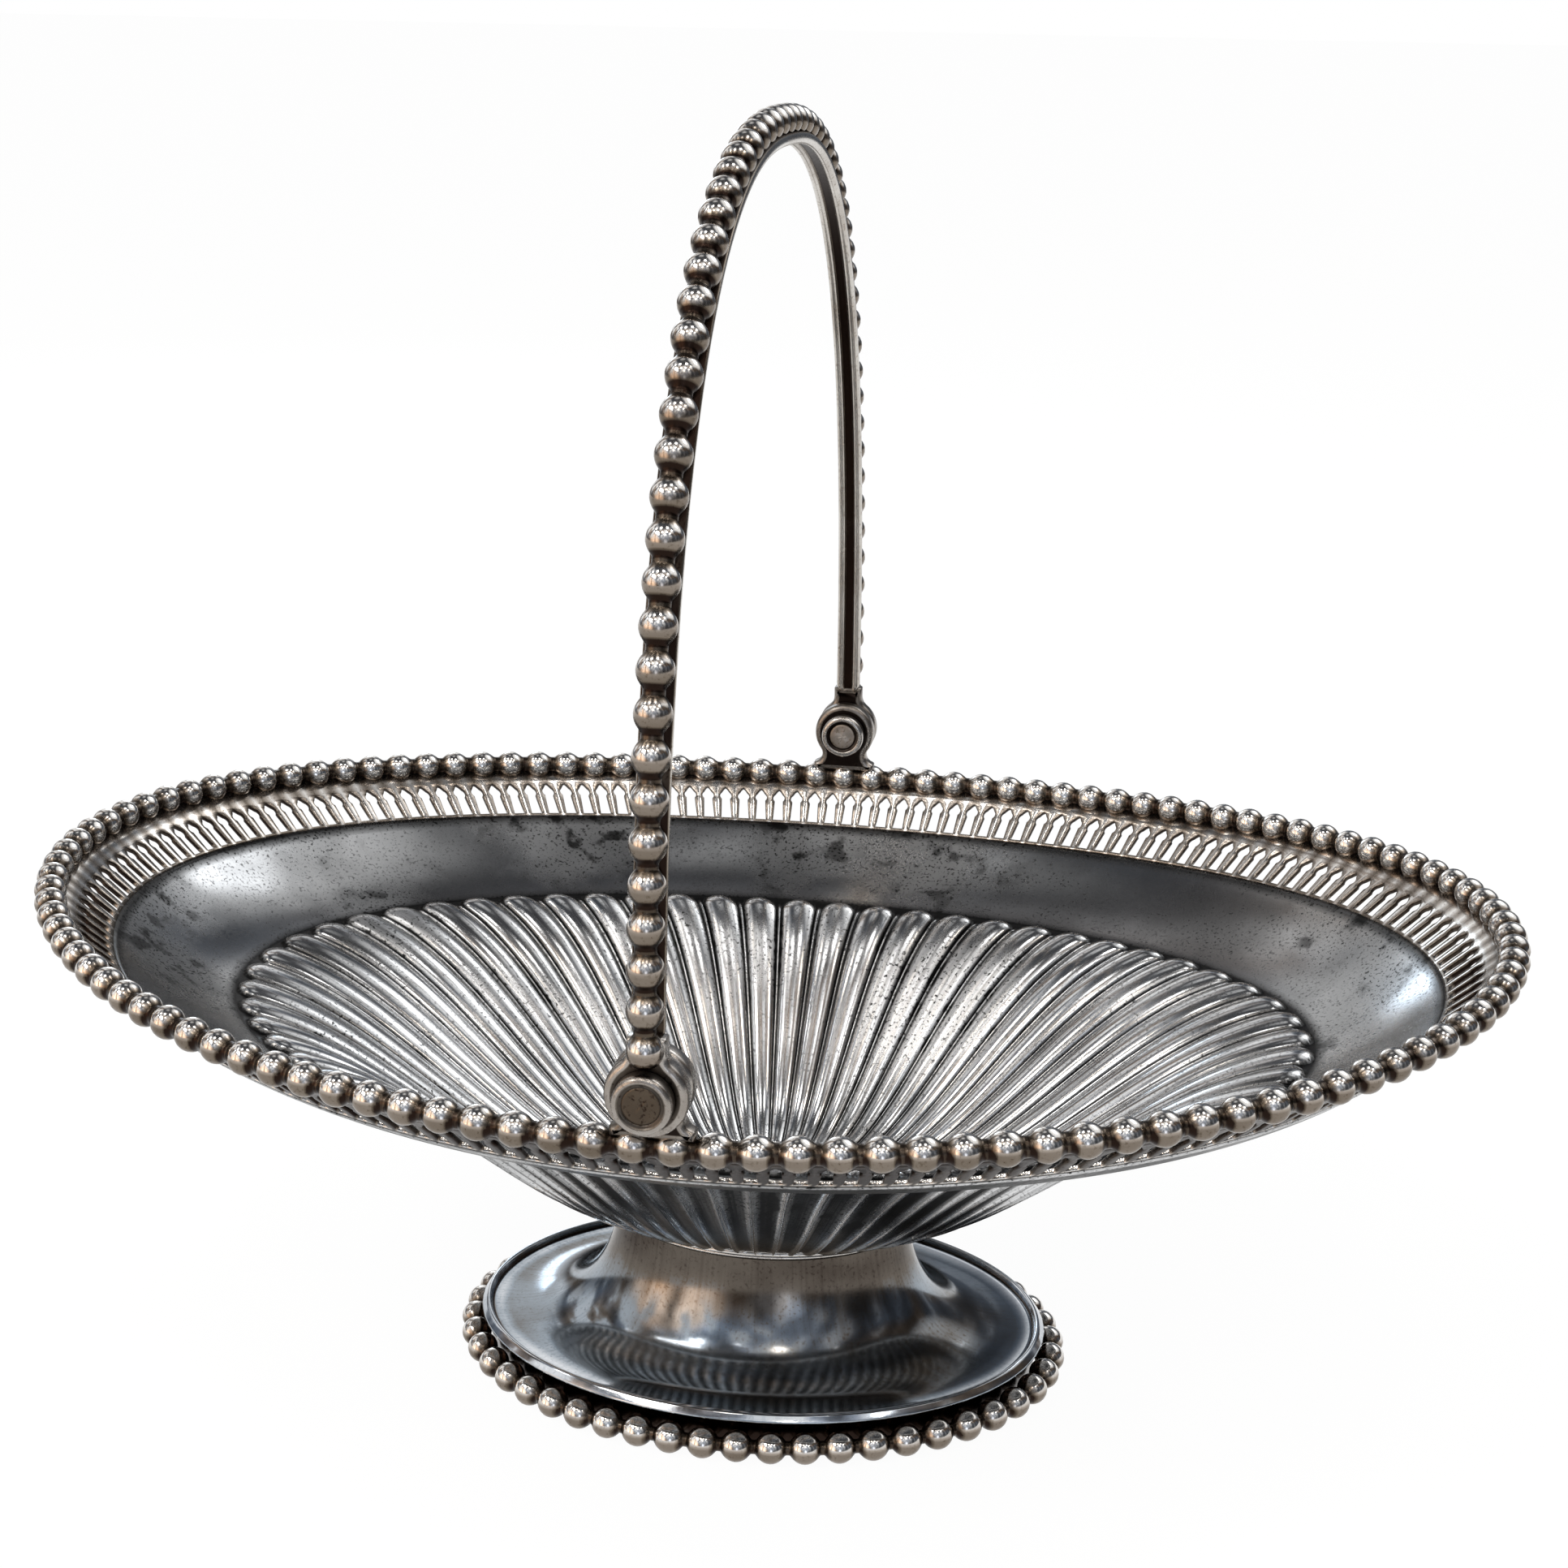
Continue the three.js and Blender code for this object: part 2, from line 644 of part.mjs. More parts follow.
handle.add(
  piece('handle_bead_strip', makeHandleBeads(), silver(0xc2bdb4, 0.24)),
  piece('handle_inner_strip', makeHandleStrip(), silver(0xa39e96, 0.3)),
);

export default basket;
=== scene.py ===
# Visual model of an oval silver bread basket with a beaded swing handle, built round its CAD frame.
# Metres. X runs along the length, Y across it, Z up. The origin is on the table under the foot.
# "Front" is the -Y side and "rear" the +Y side.

import math
from dataclasses import dataclass

import bmesh
import bpy
import numpy as np
from mathutils import Matrix, Vector
from mathutils.geometry import tessellate_polygon


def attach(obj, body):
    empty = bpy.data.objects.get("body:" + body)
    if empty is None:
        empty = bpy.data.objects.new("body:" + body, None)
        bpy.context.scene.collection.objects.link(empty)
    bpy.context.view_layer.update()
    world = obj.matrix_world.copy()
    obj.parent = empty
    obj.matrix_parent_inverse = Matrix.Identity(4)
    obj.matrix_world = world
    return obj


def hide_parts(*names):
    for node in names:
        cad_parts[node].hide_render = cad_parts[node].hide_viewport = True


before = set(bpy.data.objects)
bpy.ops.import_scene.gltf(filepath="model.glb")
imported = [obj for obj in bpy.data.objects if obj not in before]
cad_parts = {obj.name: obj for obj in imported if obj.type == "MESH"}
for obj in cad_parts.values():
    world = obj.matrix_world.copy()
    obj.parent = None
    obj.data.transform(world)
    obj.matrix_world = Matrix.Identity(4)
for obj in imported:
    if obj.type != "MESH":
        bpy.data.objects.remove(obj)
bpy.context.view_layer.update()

# Rim, measured on the line through the bead centres
RIM_HALF_LENGTH = 0.150
RIM_HALF_WIDTH = 0.1073
RIM_HEIGHT = 0.0973
RIM_RISE = 0.0087

# Pierced gallery
GALLERY_RUN_LENGTHWISE = 0.0121
GALLERY_RUN_CROSSWISE = 0.010
GALLERY_DROP = 0.0099
GALLERY_END_DROP = 0.0008
GALLERY_SHEET = 0.001
GALLERY_UNDER_BEADS = 0.0012
GALLERY_BELOW_CREASE = 0.0001
SLOTS = 176
SLOT_SILL = 0.0007
SLOT_BOTTOM_HALF = 0.00125
SLOT_WAIST_HALF = 0.00098
SLOT_WAIST = 0.0058
SLOT_HEAD_RADIUS = 0.00138
SLOT_HEAD_CENTRE = 0.0069
SLOT_TOP = 0.0092
SLOT_CHAMFER = 0.00013
ABOVE_SLOTS = 0.0006

# Bowl
BOWL_SHEET = 0.0012
SHOULDER_RUN = 0.0243
SHOULDER_DROP = 0.0114
SHOULDER_SAG = 0.0024
FLOOR_HALF_LENGTH = 0.0324
FLOOR_HALF_WIDTH = 0.023
FLOOR_HEIGHT = 0.0357
FLUTES = 60
FLUTE_HEIGHT = 0.00195
FLUTE_FLOOR_HEIGHT = 0.0006
FLUTE_LEAVES_FLOOR = np.array([0.0256, 0.016, 0.0023])
FLUTE_REACHES_TIP = np.array([0.0336, 0.017, 0.004])
LOBE_SHARE = 0.88
FILLET_SHARE = 0.08
FILLET_HEIGHT_SHARE = 0.42

# Beaded wires
RIM_BEADS = 117
FOOT_BEADS = 50
BEAD_PITCH = 0.00695
BEAD_RADIUS = 0.0032
BEAD_HALF_LENGTH = 0.0032
BEAD_NECK_RADIUS = 0.0019
FOOT_NECK_RADIUS = 0.0014
BEAD_ROWS = 17
BEAD_SIDES = 24
END_CAP_ROWS = 8

# Foot and collar
FOOT_HALF_LENGTH = 0.063
FOOT_HALF_WIDTH = 0.0468
FOOT_BEAD_HEIGHT = 0.00335
FOOT_SHEET = 0.0012
NECK_HALF_LENGTH = 0.0315
NECK_HALF_WIDTH = 0.0223
NECK_TOP = 0.0342
COLLAR_HEIGHT = 0.0022
DISH_INSET = 0.0075
DISH_HEIGHT = 0.0081
WALL_INNER_INSET = 0.00545
WALL_FILLET = 0.0006
TRUMPET_KNEE = 0.0065
NECK_PULL = np.array([0.001, 0.001, -0.011])
COLLAR_ABOVE_NECK = 0.0003
COLLAR_BEHIND_NECK = 0.0006
UPPER_MOULDING_OUT = 0.0014
UPPER_MOULDING_RADIUS = 0.0006
LOWER_MOULDING_OUT = 0.0008
LOWER_MOULDING_DROP = 0.0016
LOWER_MOULDING_RADIUS = 0.00045
MOULDING_GROOVE_OUT = 0.00085
MOULDING_GROOVE_DROP = 0.00118

# Hinges and handle
PIVOT_HEIGHT = 0.1089
PLATE_RADIUS = 0.00725
PLATE_EDGE = 0.0012
PLATE_FACE_INSET = 0.00145
SMALL_EDGE = 0.0003
TINY_EDGE = 0.0002
LUG_INNER = 0.1052
LUG_OUTER = 0.1094
LUG_BASE_HALF_WIDTH = 0.0074
LUG_BOTTOM = -0.0096
LUG_BASE_HEIGHT = 0.0016
LUG_FLARE = 0.0024
EYE_INNER = 0.10965
EYE_OUTER = 0.11385
EYE_NECK_HALF_WIDTH = 0.0034
EYE_NECK_TOP = 0.0105
NECK_FILLET = 0.003
WASHER_RADIUS = 0.00515
WASHER_EDGE = 0.0009
OUTER_WASHER_START = 0.1141
OUTER_WASHER_END = 0.1173
INNER_WASHER_END = 0.102
BORE_RADIUS = 0.00332
PIN_RADIUS = 0.0032
PIN_HEAD_RADIUS = 0.00331
PIN_RECESS = 0.0003
PIN_DOME = 0.00012
PIN_MIDDLE = 0.00002
HAMMER_DEPTH = 0.00009
HANDLE_HALF_SPAN = EYE_OUTER
HANDLE_REACH = 0.1516
HANDLE_EXPONENT = 2.49
FIRST_BEAD_ABOVE_PIVOT = 0.0085
STRIP_START = 0.0088
STRIP_BEHIND_BEADS = 0.0022
STRIP_HALF_WIDTH = 0.00285
STRIP_FLANGE = 0.001
STRIP_THICKNESS = 0.0023
STRIP_GROOVE = 0.0009

UP = np.array([0.0, 0.0, 1.0])
LENGTHWISE = np.array([1.0, 0.0, 0.0])


def in_scene(name, data):
    """New object with this data, linked to the scene."""
    thing = bpy.data.objects.new(name, data)
    bpy.context.scene.collection.objects.link(thing)
    return thing


# Camera at the photograph's viewing angle

CAMERA_PLACE = Vector((0.0839, -0.4789, 0.2806))
CAMERA_AZIMUTH = 0.1591
CAMERA_ELEVATION = 0.2787
CAMERA_ROLL = 0.0197
FRAME_PIXELS = 1932
FOCAL_PIXELS = 3058.8
CENTRE_PIXEL = (991.8, 889.5)
SENSOR = 36.0


def make_camera():
    data = bpy.data.cameras.new("photo_view")
    camera = in_scene("photo_view", data)
    camera.matrix_world = (
        Matrix.Translation(CAMERA_PLACE)
        @ Matrix.Rotation(CAMERA_AZIMUTH, 4, "Z")
        @ Matrix.Rotation(math.pi / 2 - CAMERA_ELEVATION, 4, "X")
        @ Matrix.Rotation(CAMERA_ROLL, 4, "Z")
    )
    data.sensor_width = SENSOR
    data.lens = FOCAL_PIXELS * SENSOR / FRAME_PIXELS
    data.shift_x = (FRAME_PIXELS / 2 - CENTRE_PIXEL[0]) / FRAME_PIXELS
    data.shift_y = (CENTRE_PIXEL[1] - FRAME_PIXELS / 2) / FRAME_PIXELS
    data.clip_start = 0.01
    bpy.context.scene.camera = camera


make_camera()


# Materials

class Shader:
    """A material's node tree, with short names for the nodes that the looks are made of."""

    def __init__(self, name, owner=None):
        self.material = owner or bpy.data.materials.new(name)
        self.material.use_nodes = True
        self.tree = self.material.node_tree

    def link(self, value, socket):
        if isinstance(value, bpy.types.NodeSocket):
            self.tree.links.new(value, socket)
        else:
            socket.default_value = value

    def add(self, kind, inputs=None, **settings):
        """New node with these settings, and with a value or a link for each named input."""
        node = self.tree.nodes.new(kind)
        for key, value in settings.items():
            setattr(node, key, value)
        for key, value in (inputs or {}).items():
            self.link(value, node.inputs[key])
        return node

    def math(self, operation, *values):
        return self.add("ShaderNodeMath", dict(enumerate(values)), operation=operation).outputs[0]

    def times(self, a, b):
        return self.math("MULTIPLY", a, b)

    def sum(self, first, *others):
        for other in others:
            first = self.math("ADD", first, other)
        return first

    def held(self, value):
        return self.math("MINIMUM", self.math("MAXIMUM", value, 0.0), 1.0)

    def noise(self, place, scale, detail, stretch=(1.0, 1.0, 1.0), turn=0.0):
        turns = (turn, 0.7 * turn, turn)
        mapping = self.add("ShaderNodeMapping", {"Vector": place, "Rotation": turns, "Scale": stretch})
        inputs = {"Vector": mapping.outputs[0], "Scale": scale, "Detail": detail}
        return self.add("ShaderNodeTexNoise", inputs).outputs["Fac"]

    def between(self, value, low, high):
        """0 below low and 1 above high."""
        inputs = {"Value": value, "From Min": low, "From Max": high}
        return self.add("ShaderNodeMapRange", inputs).outputs["Result"]

    def blend(self, share, stops):
        """Colour ramp through (place, colour) stops."""
        node = self.add("ShaderNodeValToRGB", {"Fac": share})
        ramp = node.color_ramp
        while len(ramp.elements) < len(stops):
            ramp.elements.new(1.0)
        for element, (place, colour) in zip(ramp.elements, stops):
            element.position = place
            element.color = (*colour, 1.0)
        return node.outputs["Color"]

    def show(self, share, one, other):
        """Ends the tree in a mix of two shaders."""
        mix = self.add("ShaderNodeMixShader", {0: share, 1: one.outputs[0], 2: other.outputs[0]})
        self.add("ShaderNodeOutputMaterial", {"Surface": mix.outputs[0]})


# Noise scales per metre: the wear runs from frosted patches down to single grains
FROST_SCALE = 24.0
CLOUD_SCALE = 38.0
WAVE_SCALE = 60.0
BLOTCH_SCALE = 150.0
GRAIN_SCALE = 1500.0
STREAK_STRETCH = (1100.0, 22.0, 1.0)
SCRATCHES = (((60.0, 2600.0, 60.0), 0.5), ((2400.0, 70.0, 70.0), 0.3))


class Silver(Shader):
    """Silver plate: clean metal where it was rubbed, grey and then black where the piece's own value of
    tarnish and painted shade asks. That value holds real tarnish, and on some pieces painted shade that
    darkens the colour where shade falls. Grain, streaks and soft waves keep the reflections alive; their
    heights are in millimetres. Streaks run along a piece's own lay, where it has one."""

    def __init__(self, name, clean, roughness, warm=0.0, cool=0.0, patches=0.3, grain=0.2, streaks=0.0,
                 frost=0.0, dulling=0.20, scratch_relief=0.0008, wave_relief=0.010, grain_relief=0.001):
        super().__init__(name)
        surface = self.tree.nodes["Principled BSDF"]
        self.link(1.0, surface.inputs["Metallic"])
        place = self.add("ShaderNodeTexCoord").outputs["Object"]
        lay = self.add("ShaderNodeAttribute", attribute_name="lay").outputs["Vector"]
        stain_and_shade = self.add("ShaderNodeAttribute", attribute_name="tarnish_and_shade").outputs["Fac"]

        # Stain and painted shade: the piece's own, with clouds, pits, streaks, and blotches where it isn't
        # clean
        cloud = self.between(self.noise(place, CLOUD_SCALE, 6.0), 0.40, 0.72)
        fine = self.noise(place, GRAIN_SCALE, 3.0)
        pits = self.between(fine, 0.56, 0.70)
        streak = self.between(self.noise(lay, 1.0, 3.0, stretch=STREAK_STRETCH), 0.48, 0.66)
        frosted = self.between(self.noise(place, FROST_SCALE, 6.0), 0.46, 0.60)
        blotches = self.between(self.noise(place, BLOTCH_SCALE, 6.0), 0.56, 0.64)
        darkened_area = self.between(stain_and_shade, 0.08, 0.20)
        pitted = self.sum(
            self.times(pits, self.sum(self.times(frosted, 3 * frost), grain)),
            self.times(self.times(blotches, darkened_area), self.times(frosted, 3.2 * frost)),
        )
        stained_and_shaded = self.held(self.sum(
            stain_and_shade, self.times(cloud, patches), pitted, self.times(streak, streaks),
        ))
        half = [value * (0.42 + shade * (warm - cool)) for value, shade in zip(clean, (0.02, -0.03, -0.07))]
        quarter = [value * (0.15 + shade * warm) for value, shade in zip(clean, (0.02, -0.01, -0.04))]
        soot_and_painted_shade = (0.012 + 0.008 * warm, 0.012, 0.012 - 0.003 * warm)
        colour = self.blend(stained_and_shaded, [(0.0, clean), (0.38, half), (0.7, quarter), (1.0, soot_and_painted_shade)])
        self.link(colour, surface.inputs["Base Color"])

        # The grain lifts the roughness by its mean, half of its share, so the plain value comes down
        grain_share = 0.14
        rough = self.sum(
            self.times(stained_and_shaded, dulling),
            self.times(fine, grain_share),
            self.times(frosted, frost),
            roughness - grain_share / 2,
        )
        self.link(rough, surface.inputs["Roughness"])

        scratch = self.sum(*(
            self.noise(place, 1.0, 2.0, stretch=stretch, turn=turn) for stretch, turn in SCRATCHES
        ))
        relief = self.sum(
            self.times(scratch, scratch_relief),
            self.times(self.noise(place, WAVE_SCALE, 2.0), wave_relief),
            self.times(fine, grain_relief),
        )
        bump = self.add("ShaderNodeBump", {"Strength": 1.0, "Distance": 0.001, "Height": relief})
        self.link(bump.outputs["Normal"], surface.inputs["Normal"])


LOOKS = {
    "bowl_silver": dict(
        clean=(0.78, 0.785, 0.79), roughness=0.115, patches=0.26, grain=0.30, streaks=0.25, frost=0.16,
    ),
    "gallery_silver": dict(clean=(0.80, 0.78, 0.75), roughness=0.17, warm=0.8, patches=0.2),
    "bead_silver": dict(clean=(0.84, 0.82, 0.79), roughness=0.11, warm=1.0, patches=0.12, grain=0.1),
    "moulding_silver": dict(clean=(0.66, 0.64, 0.61), roughness=0.20, warm=1.0),
    "foot_silver": dict(
        clean=(0.75, 0.77, 0.80), roughness=0.075, warm=0.9, cool=1.8, patches=0.35, grain=0.1,
        streaks=0.05, dulling=0.10, wave_relief=0.02,
    ),
    "hinge_silver": dict(clean=(0.72, 0.70, 0.67), roughness=0.20, warm=0.6, patches=0.45, grain=0.15),
    "pin_silver": dict(clean=(0.66, 0.63, 0.59), roughness=0.32, warm=1.0, grain_relief=0.004),
    "strip_silver": dict(clean=(0.72, 0.70, 0.66), roughness=0.18, warm=1.0),
}
SILVERS = {name: Silver(name, **look) for name, look in LOOKS.items()}


# Mesh helpers

def add_piece(name, points, faces, tarnish_and_shade, slot, body, nodes, lay=None, welded=True):
    """Smooth mesh in the given silver. It rides on the body and stands for the CAD nodes. lay gives
    each point's metres across and along the streaks."""
    mesh = bpy.data.meshes.new(name)
    mesh.from_pydata(np.asarray(points).tolist(), [], [list(face) for face in faces])
    mesh.shade_smooth()
    stain_and_shade = mesh.attributes.new("tarnish_and_shade", "FLOAT", "POINT")
    stain_and_shade.data.foreach_set("value", np.clip(tarnish_and_shade, 0.0, 1.0).astype(np.float32))
    if lay is not None:
        across_along = np.zeros((len(lay), 3), np.float32)
        across_along[:, :2] = lay
        mesh.attributes.new("lay", "FLOAT_VECTOR", "POINT").data.foreach_set("vector", across_along.ravel())
    mesh.materials.append(SILVERS[slot].material)
    piece = in_scene(name, mesh)
    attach(piece, body)
    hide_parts(*nodes)
    if welded:
        weld(piece)
    return piece


def weld(piece, distance=1e-6):
    """Merges points that lie together, and turns all faces outwards."""
    shape = bmesh.new()
    shape.from_mesh(piece.data)
    bmesh.ops.remove_doubles(shape, verts=shape.verts, dist=distance)
    bmesh.ops.dissolve_degenerate(shape, edges=shape.edges, dist=distance)
    bmesh.ops.recalc_face_normals(shape, faces=shape.faces)
    shape.to_mesh(piece.data)
    shape.free()


def skin(rows, columns, closed_rows=False, first=0):
    """Quads over a grid of rows whose columns go all the way round."""
    spans = rows if closed_rows else rows - 1
    row, column = np.meshgrid(np.arange(spans), np.arange(columns), indexing="ij")
    below = (row + 1) % rows
    beside = (column + 1) % columns
    corners = [(row, column), (row, beside), (below, beside), (below, column)]
    return np.stack([a * columns + b for a, b in corners], -1).reshape(-1, 4) + first


def fan(ring, middle):
    """Triangles from a ring of point numbers to one in its middle."""
    return [[int(a), int(b), int(middle)] for a, b in zip(ring, np.roll(ring, -1))]


def smooth_step(value, low, high):
    share = np.clip((value - low) / (high - low), 0.0, 1.0)
    return share * share * (3.0 - 2.0 * share)


def unit(vectors):
    return vectors / np.linalg.norm(vectors, axis=-1, keepdims=True)


def distances(points):
    """Each point's distance from the first, along the line through them."""
    steps = np.linalg.norm(np.diff(points, axis=0), axis=-1)
    return np.concatenate([np.zeros_like(steps[:1]), np.cumsum(steps, axis=0)])


def full_turn(count):
    return 2 * math.pi * np.arange(count) / count


def arc(centre, radius, start, end, count):
    """Points round a centre, between two angles in degrees."""
    angles = np.radians(np.linspace(start, end, count))
    return [(centre[0] + radius * math.cos(a), centre[1] + radius * math.sin(a)) for a in angles]


def bezier(pulls, t):
    """Point at t, from 0 to 1, on the curve of four pulls."""
    s = 1 - t
    weights = (s ** 3, 3 * s * s * t, 3 * s * t * t, t ** 3)
    return sum(weight * pull for weight, pull in zip(weights, pulls))


@dataclass
class Oval:
    """Oval line whose two ends stand higher. turn is 0 at +X and a quarter turn at +Y."""
    half_length: float
    half_width: float
    height: float
    rise: float = 0.0

    def point(self, turn):
        across, along = np.sin(turn), np.cos(turn)
        height = self.height + self.rise * along ** 2
        return np.stack([self.half_length * along, self.half_width * across, height], -1)

    def turns(self, shares):
        """Turns at these shares of the length, counted from the middle of the front side."""
        fine = np.linspace(-0.5, 1.5, 8001) * math.pi
        length = distances(self.point(fine))
        return np.interp(shares, length / length[-1], fine)


# Bowl

CREASE = Oval(
    RIM_HALF_LENGTH - GALLERY_RUN_LENGTHWISE,
    RIM_HALF_WIDTH - GALLERY_RUN_CROSSWISE,
    RIM_HEIGHT - GALLERY_DROP,
    RIM_RISE - GALLERY_END_DROP,
)
CREASE_EDGE = np.array([CREASE.half_length, CREASE.half_width, CREASE.height])
FLOOR_EDGE = np.array([FLOOR_HALF_LENGTH, FLOOR_HALF_WIDTH, FLOOR_HEIGHT])
FLUTE_TIPS = CREASE_EDGE - np.array([SHOULDER_RUN, SHOULDER_RUN, SHOULDER_DROP])


def bowl_ovals(levels):
    """Half lengths, half widths, heights and rises of the bowl's ovals: -1 to 0 is the floor,
    0 to 1 are the flutes and 1 to 2 is the shoulder."""
    ends = []
    shoulder_middle = (FLUTE_TIPS + CREASE_EDGE) / 2 - SHOULDER_SAG * UP
    pulls = (FLOOR_EDGE, FLOOR_EDGE + FLUTE_LEAVES_FLOOR, FLUTE_TIPS - FLUTE_REACHES_TIP, FLUTE_TIPS)
    for level in levels:
        if level < 0:
            ends.append(FLOOR_EDGE * np.array([1 + level, 1 + level, 1]))
        elif level <= 1:
            ends.append(bezier(pulls, level))
        else:
            s, t = 2 - level, level - 1
            ends.append(s * s * FLUTE_TIPS + 2 * s * t * shoulder_middle + t * t * CREASE_EDGE)
    ends = np.array(ends)
    climb = (ends[:, 2] - FLOOR_HEIGHT) / (CREASE.height - FLOOR_HEIGHT)
    return ends, CREASE.rise * climb ** 3


# Columns over the first half of a flute, closest together on the fillet between two flutes
HALF_FLUTE = np.array([0.0, 0.03, 0.052, 0.068, 0.095, 0.135, 0.19, 0.26, 0.34, 0.42])
# Rows from the middle of the floor to the crease, closest together at both ends of the flutes
BOWL_LEVELS = np.concatenate([
    np.linspace(-0.92, -0.08, 8),
    np.linspace(0.0, 0.06, 9),
    np.linspace(0.085, 0.87, 34),
    np.linspace(0.885, 1.0, 26),
    np.linspace(1.006, 1.05, 6),
    np.linspace(1.1, 1.9, 15),
    [1.96, 2.0],
])
FLUTES_START = 0.015


def make_bowl():
    """Bowl of one sheet: upper face, under face and the edge that joins them at the crease."""
    within = np.concatenate([HALF_FLUTE, [0.5], 1 - HALF_FLUTE[:0:-1]])
    shares = ((np.arange(FLUTES)[:, None] + within[None]) / FLUTES).ravel()
    tips = Oval(*FLUTE_TIPS, bowl_ovals([1.0])[1][0])
    turns = tips.turns(shares)
    tips_length = distances(tips.point(turns))[-1]
    levels = BOWL_LEVELS
    ends, rises = bowl_ovals(levels)
    along, across = np.cos(turns), np.sin(turns)
    base = np.stack([
        ends[:, :1] * along,
        ends[:, 1:2] * across,
        ends[:, 2:] + rises[:, None] * along ** 2,
    ], -1)
    round_way = np.roll(base, -1, axis=1) - np.roll(base, 1, axis=1)
    outwards = np.gradient(base, axis=0)
    normal = unit(np.cross(outwards, round_way))

    # Distances down the flute from its tip and up from the floor, and across it from its middle
    climb = distances(base)
    from_tip = climb[np.argmin(abs(levels - 1.0))] - climb
    from_floor = climb - climb[np.argmin(abs(levels - FLUTES_START))]
    half = len(within) // 2
    pitch = np.linalg.norm(np.roll(base, -half, axis=1) - np.roll(base, half, axis=1), axis=2)
    phase = np.tile(within, FLUTES)[None]
    sideways = (phase - 0.5) * pitch
    share = np.clip(levels, 0.0, 1.0)[:, None]
    full = FLUTE_FLOOR_HEIGHT + (FLUTE_HEIGHT - FLUTE_FLOOR_HEIGHT) * share

    def lobe(half_width, power):
        """Height share of a lobe with round ends."""
        end = np.maximum(half_width - np.minimum(from_tip, from_floor), 0.0)
        off = (sideways ** 2 + end ** 2) / half_width ** 2
        return np.maximum(1.0 - off, 0.0) ** power

    inner = lobe(LOBE_SHARE / 2 * pitch, 0.55)
    beside_fillet = np.minimum(phase, 1 - phase) / (FILLET_SHARE / 2)
    fillet = np.sqrt(np.maximum(1 - beside_fillet ** 2, 0.0)) * smooth_step(from_tip, 0.0015, 0.004)
    fillet = fillet * smooth_step(from_floor, 0.0, 0.003)
    outer = lobe(0.5 * pitch, 0.5)
    upper = base + normal * (full * np.maximum(inner, FILLET_HEIGHT_SHARE * fillet))[..., None]
    under = base + normal * (full * outer - BOWL_SHEET)[..., None]

    # Clean crowns, dark valleys and a dark line beside the tips as tarnish; underneath, a brown shoulder and
    # dark channels between light ridges as painted shade, with patina in the channels
    fluted = smooth_step(from_tip, -0.0009, 0.0) * smooth_step(from_floor, -0.001, 0.0)
    valley = 1 - smooth_step(np.maximum(inner, 0.72 * fillet), 0.12, 0.62)
    beside_tips = smooth_step(from_tip, -0.0022, -0.0004) * (1 - smooth_step(from_tip, -0.0004, 0.0004))
    tarnish_upper = fluted * (0.02 + 0.93 * valley) + (1 - fluted) * (0.25 + 0.45 * beside_tips)
    # Under face: painted shade under the bowl, darkest on the shoulder and, with patina, in the channels
    channel = smooth_step(outer, 0.60, 0.96)
    under_shade_and_patina = np.where(levels[:, None] > 1, 0.86, 0.06 + 0.82 * channel)
    at_crease = levels > 1.95
    tarnish_upper[at_crease] = 0.7
    under_shade_and_patina[at_crease] = 0.1

    rows, round_count = base.shape[:2]
    middles = np.array([[0, 0, FLOOR_HEIGHT], [0, 0, FLOOR_HEIGHT - BOWL_SHEET]])
    points = np.concatenate([upper.reshape(-1, 3), under[::-1].reshape(-1, 3), middles])
    tarnish_and_shade = np.concatenate([tarnish_upper.ravel(), under_shade_and_patina[::-1].ravel(), [0.1, 0.5]])
    across = np.broadcast_to((shares * tips_length)[None], base.shape[:2]).ravel()
    lay = np.stack([across, climb.ravel()], -1)
    lay[np.repeat(levels > 1, len(turns))] = 0.0
    lay = np.concatenate([lay, lay, [[0.0, 0.0]] * 2])
    quads = skin(2 * rows, round_count)
    first_ring = np.arange(round_count)
    last_ring = (2 * rows - 1) * round_count + first_ring
    top, bottom = len(points) - 2, len(points) - 1
    faces = quads[:, ::-1].tolist() + fan(first_ring, top) + fan(last_ring[::-1], bottom)
    add_piece(
        "fluted_bowl", points, faces, tarnish_and_shade, "bowl_silver", "basket", ["basket_bowl"], lay, welded=False,
    )


make_bowl()


# Pierced gallery

RIM = Oval(RIM_HALF_LENGTH, RIM_HALF_WIDTH, RIM_HEIGHT, RIM_RISE)


def slot_half_outline():
    """Half width and height of the slot's edge, from its sill up over the waist to its pointed head."""
    lower = [(SLOT_BOTTOM_HALF, SLOT_SILL)]
    for share in (0.25, 0.5, 0.75):
        width = SLOT_BOTTOM_HALF + (SLOT_WAIST_HALF - SLOT_BOTTOM_HALF) * share
        lower.append((width, SLOT_SILL + (SLOT_WAIST - SLOT_SILL) * share))
    start = -math.degrees(math.acos(SLOT_WAIST_HALF / SLOT_HEAD_RADIUS))
    head = arc((0.0, SLOT_HEAD_CENTRE), SLOT_HEAD_RADIUS, start, 52, 9)
    shoulder = head[-1]
    tip = []
    for share in (0.4, 0.75, 1.0):
        height = shoulder[1] + (SLOT_TOP - shoulder[1]) * share
        tip.append((shoulder[0] * (1 - share) ** 0.8, height))
    return np.array(lower + head + tip)


# Spread of a slot's edge, depth, and stain and painted shade of the four edge lines through the sheet; the
# two lines at the outer face share its painted shade
SLOT_LAYERS = (
    (SLOT_CHAMFER, 0.0, 0.55),
    (0.0, SLOT_CHAMFER, 0.85),
    (0.0, GALLERY_SHEET - SLOT_CHAMFER, 0.9),
    (SLOT_CHAMFER, GALLERY_SHEET, 0.9),
)
# Bars' two faces: the inner face clean, the outer face under the beads darkened as painted shade
BAR_FACE_SHADES = {0.0: 0.0, GALLERY_SHEET: 0.93}


